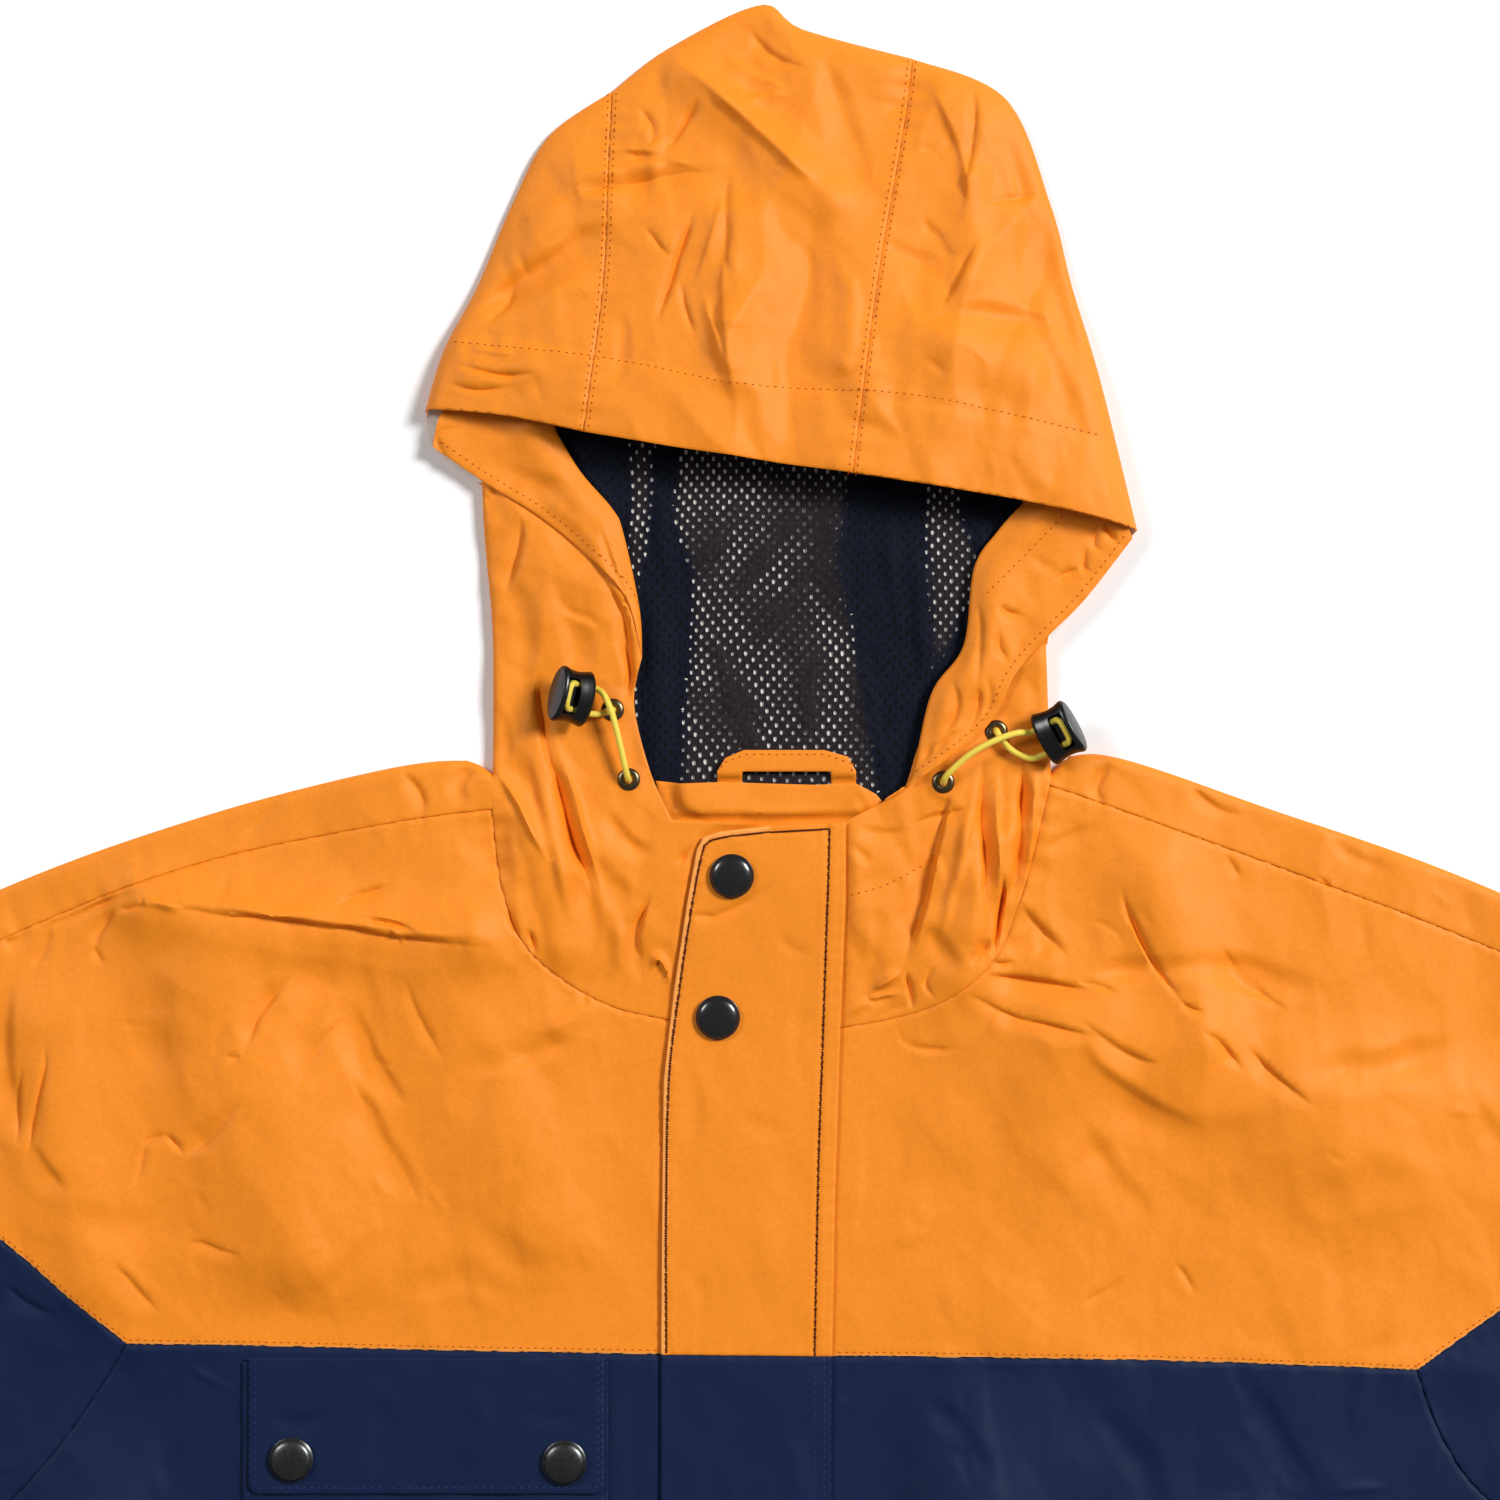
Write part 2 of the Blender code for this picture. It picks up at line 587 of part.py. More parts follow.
def turned(name, profile, finish, home, place, segments):
    """A ring or cap turned about its own axis, from (radius, height) points, outer side first."""
    bm = bmesh.new()
    verts = [bm.verts.new((radius * MM, 0, height * MM)) for radius, height in profile]
    for a, b in zip(verts, verts[1:]):
        bm.edges.new((a, b))
    if profile[0][0] > 0:
        bm.edges.new((verts[-1], verts[0]))
    made = to_object(name, bm, finish, home)
    made.location = Vector(place) * MM
    screw = made.modifiers.new("turn", "SCREW")
    screw.steps = screw.render_steps = segments
    screw.use_merge_vertices = True
    screw.merge_threshold = 0.00001
    return made


def make_snaps(home):
    # share of the radius, share of the height
    dome = [(0, 1.0), (0.42, 0.985), (0.74, 0.88), (0.93, 0.62), (1.0, 0.32), (0.93, 0.0), (0, 0)]
    cap = [(SNAP_RADIUS * radius, SNAP_HEIGHT * height) for radius, height in dome]
    for name, (x, y, layers) in SNAPS.items():
        seat = front_low(x, y) + LAYER * layers + SNAP_SEAT
        made = turned(name, cap, SNAP_BLACK, home, (x, y, seat), 20)
        made.rotation_euler.x = math.atan(front_low(x, y + 0.5) - front_low(x, y - 0.5))


def make_eyelets(home):
    flange_low = CLOTH + SEAM_GAP
    top = flange_low + EYELET_FLANGE_THICKNESS
    profile = [(EYELET_BORE, top), (EYELET_FLANGE - 0.4, top), (EYELET_FLANGE, flange_low + 0.3),
               (EYELET_FLANGE, flange_low), (EYELET_BARREL, flange_low), (EYELET_BARREL, 0),
               (EYELET_BORE, 0)]
    for name, (x, y) in EYELETS.items():
        turned(name, profile, EYELET_METAL, home, (x, y, front_low(x, y)), 14)


def lock_axes(lock):
    """Unit vectors of a lock: across its bores, its depth, and along the cord."""
    heading = math.radians(lock["heading"])
    tilt = math.radians(lock["tilt"])
    along = Vector((math.cos(heading) * math.cos(tilt), math.sin(heading) * math.cos(tilt),
                    math.sin(tilt)))
    across = Vector((math.sin(heading), -math.cos(heading), 0))
    return across, along.cross(across), along


def make_locks(home, spare):
    for name, lock in LOCKS.items():
        across, deep, along = lock_axes(lock)
        frame = Matrix((across, deep, along)).transposed().to_4x4()
        frame.translation = Vector(lock["middle"]) * MM
        bpy.ops.mesh.primitive_cylinder_add(vertices=20, radius=1, depth=1)
        body = bpy.context.object
        body.name = name
        bm = bmesh.new()
        bm.from_mesh(body.data)
        uprights = [e for e in bm.edges if abs(e.verts[0].co.z - e.verts[1].co.z) > 0.5]
        bmesh.ops.subdivide_edges(bm, edges=uprights, cuts=LOCK_RINGS)
        for vert in bm.verts:
            width = 1 - LOCK_WAIST * math.cos(math.pi * vert.co.z)
            vert.co.x *= LOCK_LONG / 2 * width * MM
            vert.co.y *= LOCK_DEEP / 2 * width * MM
            vert.co.z *= LOCK_TALL * MM
        bm.to_mesh(body.data)
        bm.free()
        body.data.materials.append(material(LOCK_BLACK))
        body.matrix_world = frame
        move_to(body, home)
        for which, sideways in (("near", -BORE_OFFSET), ("far", BORE_OFFSET)):
            bpy.ops.mesh.primitive_cylinder_add(vertices=12, radius=LOCK_BORE / 2 * MM,
                                                depth=2 * LOCK_TALL * MM)
            bore = spare_tool(bpy.context.object, f"{name}_bore_{which}", spare)
            bore.matrix_world = frame @ Matrix.Translation((sideways * MM, 0, 0))
            cut(body, bore)


def cord_through(lock):
    """Points of a cord through both bores of a lock, with its loop past the far face."""
    across, _, along = lock_axes(lock)
    middle = Vector(lock["middle"])
    half = LOCK_TALL / 2

    def spot(sideways, forwards):
        return tuple(middle + across * sideways + along * forwards)

    straight = (-half - 1.5, -half, -half / 2, 0, half / 2, half)
    there = [spot(-BORE_OFFSET, forwards) for forwards in straight]
    loop = [spot(-BORE_OFFSET * math.cos(math.radians(turn)),
                 half + BORE_OFFSET * math.sin(math.radians(turn))) for turn in (30, 60, 90, 120, 150)]
    back = [spot(BORE_OFFSET, forwards) for forwards in reversed(straight)]
    return there + loop + back


# loose points of each cord between the eyelets and its lock, mm
CORD_LEADS = {
    "right": {
        "out": [(-49, 223, 3.4), (-49, 223, 5.2), (-49, 223, 7.4), (-49.9, 226.6, 10.0),
                (-52.4, 238.0, 12.0), (-55.0, 248.0, 12.6), (-58.0, 254.6, 11.2)],
        "back": [(-60.0, 247.4, 8.9), (-56.8, 248.3, 8.6), (-55, 249, 7.2), (-55, 249, 5.2),
                 (-55, 249, 3.4)],
    },
    "left": {
        "out": [(68.5, 222, 3.4), (68.5, 222, 5.2), (68.5, 222, 7.4), (70.0, 225.2, 10.0),
                (78.0, 232.4, 12.0), (87.0, 237.4, 12.8), (95.0, 240.2, 12.2)],
        "back": [(100.5, 230.8, 9.8), (94.5, 233.4, 8.9), (90.3, 237.4, 8.7), (88.3, 241.0, 7.2),
                 (88.3, 241.0, 5.2), (88.3, 241.0, 3.4)],
    },
}


def make_cords(home):
    for side, leads in CORD_LEADS.items():
        through = cord_through(LOCKS[f"cord_lock_{side}"])
        route = [*leads["out"], *(through[::-1] if side == "right" else through), *leads["back"]]
        points = curve_through(route, 3.0)
        data = bpy.data.curves.new(f"cord_{side}", "CURVE")
        data.dimensions = "3D"
        spline = data.splines.new("POLY")
        spline.points.add(len(points) - 1)
        for spot, point in zip(spline.points, points):
            spot.co = (*(Vector(point) * MM), 1)
        data.bevel_depth = CORD_DIAMETER / 2 * MM
        data.bevel_resolution = 2
        data.use_fill_caps = True
        data.materials.append(material(CORD_YELLOW))
        made = bpy.data.objects.new(f"cord_{side}", data)
        home.objects.link(made)


def main():
    for thing in list(bpy.data.objects):
        bpy.data.objects.remove(thing, do_unlink=True)
    home = collection("smock jacket")
    spare = collection("cutters and joins")
    make_body(home, spare)
    make_sleeves(home, spare)
    make_hood(home, spare)
    make_facings(home)
    make_lining(home)
    make_flap_and_pocket(home)
    make_snaps(home)
    make_eyelets(home)
    make_locks(home, spare)
    make_cords(home)


main()
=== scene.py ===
"""Hooded smock jacket laid flat on a pale table, seen from straight above.

Frame as in the CAD: +X to the wearer's left, +Y towards the top of the hood, +Z up.
"right" and "left" are the wearer's. Tables are in millimetres, objects in metres.

Every cloth piece is a sheet cut on the piece's own outline, raised to its height over the
table, creased by listed rows, and given its thickness by Solidify.
"""

import math

import bpy
import numpy as np
from bpy.props import FloatProperty, FloatVectorProperty, IntProperty, PointerProperty
from mathutils import Matrix, Vector
from mathutils.bvhtree import BVHTree
from mathutils.geometry import delaunay_2d_cdt
from mathutils.kdtree import KDTree


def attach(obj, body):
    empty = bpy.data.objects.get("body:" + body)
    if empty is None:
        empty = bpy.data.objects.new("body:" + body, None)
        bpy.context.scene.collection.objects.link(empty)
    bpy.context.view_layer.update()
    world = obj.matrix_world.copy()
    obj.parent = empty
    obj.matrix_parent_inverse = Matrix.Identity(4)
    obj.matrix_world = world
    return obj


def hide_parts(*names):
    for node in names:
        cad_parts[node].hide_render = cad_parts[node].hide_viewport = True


bl_info = {
    "name": "Smock jacket",
    "version": (1, 0, 0),
    "blender": (4, 5, 0),
    "location": "View3D > Sidebar > Jacket",
    "description": "Builds the cloth, stitching, snaps and drawcord of a smock jacket laid flat",
    "category": "Object",
}

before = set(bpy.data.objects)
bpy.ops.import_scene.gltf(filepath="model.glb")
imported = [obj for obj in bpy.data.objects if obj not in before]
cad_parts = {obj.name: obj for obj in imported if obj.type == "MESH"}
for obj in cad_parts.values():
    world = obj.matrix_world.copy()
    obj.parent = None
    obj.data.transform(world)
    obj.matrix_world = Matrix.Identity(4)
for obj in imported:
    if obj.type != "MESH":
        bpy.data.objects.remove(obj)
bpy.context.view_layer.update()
MM = 0.001
WEARERS = ("right", "left")

# ---- the jacket's levels and seams, mm, as in the CAD ----
CLOTH = 1.2
SEAM_GAP = 0.3
LAYER = CLOTH + SEAM_GAP          # from one layer's underside to the next
FRONT_BASE = LAYER
NECK_LIFT = 3.0
NECK_RAMP = (125, 200)
FACING_RISE = 1.0
CROWN_EDGE = 3.0
CROWN_TIP_LIFT = 6.0
CROWN_DOME = 11.0
CROWN_ROUND = 32.0
SLEEVE_REACH = 780
HEM_Y = -513
APEX_Y = 513
OPENING_END_Y = -120
FLAP_END_Y = -128
POCKET_FOOT_Y = -160

# ---- how the sheets are made, mm ----
FLOOR_GAP = 0.05                  # underside of the back layer over the table
TUCK = 3.0                        # how far a panel runs under its neighbour at a seam
TUCK_DROP = 1.3                   # and how far below it
SAME = 0.05                       # points closer than this are one point
FOLD_ROWS = (0.3, 1.0, 2.1, 3.6)  # rows of points inside a folded edge
RIM_ROWS = (0.35, 1.0)            # rows of points inside a free edge
VIEW = (-292, 286, -58, 522)      # what the camera sees: x from, to, y from, to
EDGE_ROUND = 0.9                  # rounding of a free edge
EDGE_DROP = 0.3                   # and how far it turns down
TUCK_EASE = 1.1                   # over how far it dips before the seam
FLAP_PRESS = 0.9                  # how far the front is pressed down under the storm flap
FLAP_PRESS_REACH = 1.2
FRONT_PUFF = 1.3                  # how far the front stands off the back, clear of flap and pocket
FRONT_LEAST = 2.1                 # lowest outer face of the front: it lies on the back
BRIM_CHANNEL = 28.5               # width of the brim's drawcord channel
ROLL_RADIUS = 6.5                 # of the turned-out facings, where they roll over
UNDER = 1.4                       # a covered layer keeps this far below the one on it
ROLL_STAND = 2.4                  # how far the roll stands up behind its edge

# ---- small pieces, mm ----
SNAP_RADIUS = 8.25
SNAP_HEIGHT = 3.2
SNAP_SEAT = 0.1                   # a cap stands this far off its cloth
EYELET_BORE = 1.65
EYELET_FLANGE = 4.25
CORD_DIAMETER = 2.4
CORD_STEP = 1.2                   # spacing of a cord's rings
LOCK_LONG = 21.0
LOCK_DEEP = 11.0
LOCK_BORE = 3.1
BORE_OFFSET = 4.8
LOCK_START = -4.8                 # near end of a lock from its middle, along the cord
LOCK_END = 9.0                    # and its far end
TURN_AT = 5.6                     # where the cord crosses over in the lock,
TURN_UP = 3.4                     # and how far above its bores
BORE_DEPTH = 14                   # a bore's cutter and its middle, along the cord
BORE_MIDDLE = -4
WINDOW_MIDDLE = (0, -4.5, 4.3)    # across, down and along from the lock's middle
WINDOW_SIZE = (2 * BORE_OFFSET + LOCK_BORE + 0.9, 7.0, 5.6)
STITCH_LONG = 2.1
STITCH_PITCH = 2.8
STITCH_THICK = 0.5
STITCH_LEAST = 1.2                # no stitched cloth lies lower than this

# ---- lining, mm ----
HOLE_PITCH = 4.4
HOLE_ROW = 2.45
HOLE_WIDE = 1.2
HOLE_TALL = 2.0
HOLE_MARGIN = 2.5                 # no hole's middle is nearer to the lining's edge
PLY_DROP = 0.5                    # a second ply lies this far below the holes of the first
MESH_TOP = 1.55
MESH_RANGE = (-0.15, 3.4)         # how far the lining leaves that level

# ---- neck band and hang loop, mm ----
BAND_TOP = 5.2
BAND_LEAST = 1.9
BAND_SINK = 3.2                   # how far the band falls away behind the collar's edge,
BAND_GAP_Y = 210.4                # which starts here
BAND_FALL = 3.0                   # how far the band's ends turn down,
BAND_ENDS = (-28, 38)             # which they start to do here
LOOP_TOP = 4.6
LOOP_FREE_Y = 225.0               # the hang loop comes out from behind the band here
LOOP_DIP = 2.6                    # and lies this far lower behind it

# ---- grain and painted edge highlights, mm and degrees ----
SLEEVE_GRAIN = 58                 # the sleeves' grain from the body's
SEAM_HIGHLIGHT = 0.8                   # width of the highlight painted paler along a yoke's lower edge
FLAP_HIGHLIGHT = 1.5                   # and along the storm flap's

# ---- camera, table and lights ----
VIEW_CENTRE = (-3.7, 234.0)       # what the picture is centred on, mm
VIEW_WIDTH = 560.0                # how much of the table the picture takes in, mm
CAMERA_HEIGHT = 1100.0
CLOTH_LEVEL = 6.0                 # what lies this high is seen at its true size, mm
TABLE_WIDE = 12                   # m
TABLE_GAP = 0.25                  # table top under the jacket, mm
LIT_FROM_VIEW = (0, -0.06, 0)     # what the lights aim at, from the picture's middle, m
SOFTBOX_PLACE = (3.2, 1.7, 3.3)   # a softbox from there: aside, towards the hood, up, m
SOFTBOX_SIZE = 1.3                # m

# ---- seams, edges and folded outlines: name -> points (x, y) ----
LINES = {
    # hood, seen from the front
    "apex": [(-55, 481), (-34, 497), (0, APEX_Y), (16, 504), (57, 493)],
    "crown_right": [(-55, 481), (-79, 464), (-93, 438), (-106, 407), (-118, 384), (-125, 361)],
    "crown_left": [(57, 493), (92, 478), (109, 438), (117, 407), (127, 373), (141, 316)],
    "brim_right": [(-125, 361), (-95, 358), (-65, 351.5)],
    "brim_centre": [(-65, 351.5), (-27, 345), (34, 336)],
    "brim_left": [(34, 336), (98, 326), (141, 316)],
    "hood_seam_right": [(-55, 481), (-56, 457), (-58, 407), (-65, 351.5)],
    "hood_seam_left": [(57, 493), (54, 469), (43, 405), (34, 336)],
    "under_seam_right": [(-55, 481), (-60, 400), (-56, 300), (-45, 218)],
    "under_seam_left": [(57, 493), (62, 400), (60, 300), (52, 218)],
    "tip_right": [(-125, 361), (-122, 347), (-104, 333)],
    "tip_left": [(141, 316), (121, 290), (107, 273)],
    "neck_side_right": [(-104, 333), (-103, 312), (-100, 276), (-100, 225)],
    "neck_side_left": [(107, 273), (108, 248), (109, 225)],
    # roll line of the turned-out facings, then the face edge down to the collar top
    "roll_right": [(-76, 353), (-67, 338), (-55, 324), (-51, 315), (-45, 287), (-44, 269)],
    "roll_left": [(98, 326), (89, 316), (80, 302), (76, 273), (64, 255), (56, 223), (47, 215)],
    "face_right": [(-44, 269), (-47, 251), (-41, 226), (-33, 208)],
    "face_left": [(47, 215), (33, 208)],
    "collar_right": [(-33, 208), (0, 206)],
    "collar_left": [(33, 208), (0, 206)],
    "facing_edge_right": [(-122, 347), (-103, 334), (-82, 321), (-65, 307), (-50, 291), (-44, 269)],
    "facing_edge_left": [(139, 313), (121, 290), (107, 276), (95, 262), (83, 241), (47, 215)],
    # neck seam, from the shoulder round to the middle of the front, and behind the neck
    "neck_top_right": [(-100, 225), (-100, 212)],
    "neck_top_left": [(109, 225), (108, 221)],
    "neck_seam_right": [(-100, 212), (-96, 182), (-85, 158), (-60, 140), (-34, 133), (0, 129)],
    "neck_seam_left": [(108, 221), (102, 195), (97, 178), (87, 155), (64, 138), (30, 130), (0, 129)],
    "back_neck_right": [(-100, 225), (-45, 218)],
    "back_neck_centre": [(-45, 218), (4, 216), (52, 218)],
    "back_neck_left": [(52, 218), (109, 225)],
    # shoulders: folded edge, and the seam that lies forward of it
    "shoulder_right": [(-100, 225), (-112, 230), (-144, 226), (-209, 209), (-284, 182), (-383, 135)],
    "shoulder_left": [(109, 225), (118, 232), (138, 230), (185, 214), (276, 181), (409, 117)],
    "front_shoulder_right": [(-100, 212), (-137, 207), (-209, 192), (-273, 168), (-368, 122.5)],
    "front_shoulder_left": [(108, 221), (134, 212), (206, 186), (276, 159), (395, 107)],
    # where the orange yoke meets the navy body and sleeves
    "yoke_right": [(-237, 12), (-117, 9), (0, 7)],
    "yoke_left": [(0, 7), (133, 6), (246, 2)],
    "slant_right": [(-237, 12), (-284, 51), (-368, 122.5)],
    "slant_top_right": [(-368, 122.5), (-383, 135)],
    "slant_left": [(246, 2), (276, 23), (395, 107)],
    "slant_top_left": [(395, 107), (409, 117)],
    "armhole_right": [(-237, 12), (-246, -3), (-266, -31), (-304, -72)],
    "armhole_left": [(246, 2), (255, -22), (270, -44), (308, -76)],
    # sleeves
    "sleeve_top_right": [(-383, 135), (-440, 101), (-600, 0), (-SLEEVE_REACH, -112)],
    "sleeve_top_left": [(409, 117), (460, 84), (600, -4), (SLEEVE_REACH, -118)],
    "cuff_right": [(-SLEEVE_REACH, -112), (-718, -215)],
    "cuff_left": [(SLEEVE_REACH, -118), (719, -222)],
    "sleeve_under_right": [(-718, -215), (-560, -160), (-400, -103), (-304, -72)],
    "sleeve_under_left": [(719, -222), (560, -166), (410, -108), (308, -76)],
    # body
    "side_right": [(-304, -72), (-307, -300), (-314, -508)],
    "side_left": [(308, -76), (310, -300), (314, -508)],
    "hem": [(-314, -508), (0, HEM_Y), (314, -508)],
    # rows of stitching that follow no seam
    "flap_waist": [(27, 7.2), (-37, 7.8)],
    "channel": [(-115, 386), (-64, 380), (-47, 377), (-24, 372), (-9, 369), (24, 367), (62, 364),
                (125, 351)],
    "facing_channel": [(113.5, 322), (98, 306), (83.6, 291.5)],
    "neck_stitch": [(32.5, 179.5), (46.3, 183.3), (61.6, 191.1)],
    "flap_stitch_left": [(26, 204.5), (3, 203.3), (-14, 201.4), (-19.5, 199.4), (-21.4, 196), (-25, 178),
                         (-30, 145), (-34, 110), (-35, 60), (-35, 9)],
    "flap_stitch_right": [(26, 205.5), (25.6, 187.4), (24.9, 166), (23.5, 123), (22, 80), (20.5, 8)],
}
FLAP_UPPER = [(-37, 7.8), (27, 7.2), (28, 65), (30, 128), (32, 178), (32, 207), (3, 205.5), (-15, 203.5),
              (-21, 201.5), (-23.5, 197), (-27, 178), (-32, 145), (-36, 110)]
FLAP_LOWER = [(-37, 7.8), (-37, FLAP_END_Y), (26, FLAP_END_Y), (27, 7.2)]
POCKET = {"left": -193.5, "right": -56.7, "top": 5, "foot": POCKET_FOOT_Y, "radius": 14}
POCKET_FLAP = {"left": -191, "right": -58, "top": 7, "foot": -44, "radius": 4}

# ---- largest folds, as in the CAD: x0, y0, x1, y1, half_width, height ----
FRONT_FOLDS = [
    (-228, 176, -108, 164, 13, 6), (-205, 150, -172, 40, 26, 6), (-115, 140, -84, 60, 20, 4),
    (-268, 130, -250, 40, 18, 5), (148, 186, 166, 130, 15, 6), (120, 128, 238, 78, 24, 6),
    (205, 118, 262, 102, 15, 4), (92, 216, 74, 150, 10, 4), (-86, 210, -76, 162, 9, 4),
    (-330, 60, -430, -62, 26, 6), (-500, 20, -540, -110, 24, 5), (-640, -70, -610, -150, 20, 4),
    (345, 46, 430, -66, 26, 6), (500, 12, 560, -118, 24, 5), (650, -90, 640, -160, 20, 4),
    (-252, -60, -230, -330, 26, 5), (-150, -230, -90, -440, 42, 7), (84, -60, 190, -260, 34, 6),
    (250, -110, 226, -360, 26, 6), (60, -300, 130, -470, 38, 7),
]
CROWN_FOLDS = [
    (-30, 490, 26, 438, 8, 4), (-100, 420, -60, 440, 9, 3), (-12, 430, -12, 376, 8, 3),
    (84, 470, 76, 410, 8, 3), (98, 372, 60, 388, 10, 3), (-112, 372, -84, 376, 6, 2),
]

# ---- creases of the cloth ----
# columns: x0, y0, x1, y1, x2, y2 (three points on the crease), width on its left, width on its
# right (looking from the first point to the last), height (below 0 a trough), crest (0 sharp, 1 round)
CROWN_CREASES = [
    (-33.6, 491.6, -3, 467, 24.6, 437.5, 7, 4, 2.2, 0.1),
    (-8.6, 472.2, 0, 476.7, 13, 477.8, 3, 5, 1.2, 0.1),
    (-13.8, 493.5, -1.1, 485.3, 13.4, 477.8, 3, 5, 1.0, 0.2),
    (20.2, 496.8, 31, 472, 39.9, 434.9, 6, 9, -1.5, 0.8),
    (-22.2, 476.8, -28.4, 467, -35.8, 456.5, 2, 3, -1.0, 0.0),
    (-53.6, 455.0, -41, 455, -29.1, 453.2, 3, 4, -1.6, 0.6),
    (-92.3, 430.2, -55.6, 443.8, -8.6, 448.8, 5, 11, -2.6, 0.0),
    (-8.5, 448, -12.7, 437, -12.7, 405, 4, 6, -1.4, 0.2),
    (-24, 436, -31, 412, -39, 390, 2.2, 3.5, -1.5, 0.0),
    (-14, 441, -19, 420, -25, 404, 5, 2, 1.2, 0.1),
    (-29, 408, -27, 396, -24, 386, 1.8, 3, -1.1, 0.0),
    (-43, 428, -38, 422, -33, 416, 2, 3, -0.8, 0.2),
    (-21, 405, -18, 390, -13, 374, 2, 3.5, 1.2, 0.0),
    (-10, 428, -13, 400, -11, 368, 6, 3, 1.2, 0.3),
    (-53, 458, -36, 454, -20, 449, 2, 3, 0.8, 0.2),
    (63, 484, 77, 447, 71, 429, 9, 3, 2.0, 0.2),
    (78.8, 483, 80, 462, 74, 440, 2, 5, -1.2, 0.3),
    (80.6, 424.5, 74, 410, 65.7, 396, 3, 9, -2.0, 0.3),
    (56, 392, 84.7, 395, 113, 390, 5, 9, -1.6, 0.5),
    (82.9, 438, 96, 440, 107.5, 443.5, 4, 3, -0.9, 0.2),
    (-110, 395, -84, 412, -58, 431, 5, 12, -2.4, 0.8),
    (-93, 430.5, -76, 438, -58, 445.5, 4, 5, 1.3, 0.3),
    (-114, 378, -98, 373, -82, 374, 2, 3, -1.0, 0.1),
    (-117, 371, -104, 367, -92, 369, 2, 3, -0.8, 0.1),
    (-108, 384, -97, 381, -88, 383, 3, 2, 0.8, 0.3),
    (-104, 392, -96, 398, -92, 408, 4, 3, -0.9, 0.4),
    (6, 432, 18, 408, 14, 384, 7, 10, -1.3, 1.0),
    (26, 420, 34, 396, 28, 366, 5, 8, 1.1, 1.0),
    (92, 462, 99, 436, 97, 408, 7, 5, -1.3, 0.9),
    (100, 400, 110, 372, 121, 346, 6, 8, -1.2, 0.9),
    (-52, 398, -50, 382, -55, 366, 4, 6, -1.0, 0.8),
    (-4, 505, 4, 494, 18, 488, 3, 5, -0.9, 0.4),
    (-47, 474, -40, 466, -43, 457, 3, 3, -0.8, 0.4),
    (44, 424, 58, 416, 70, 417, 5, 6, -1.0, 0.8),
]
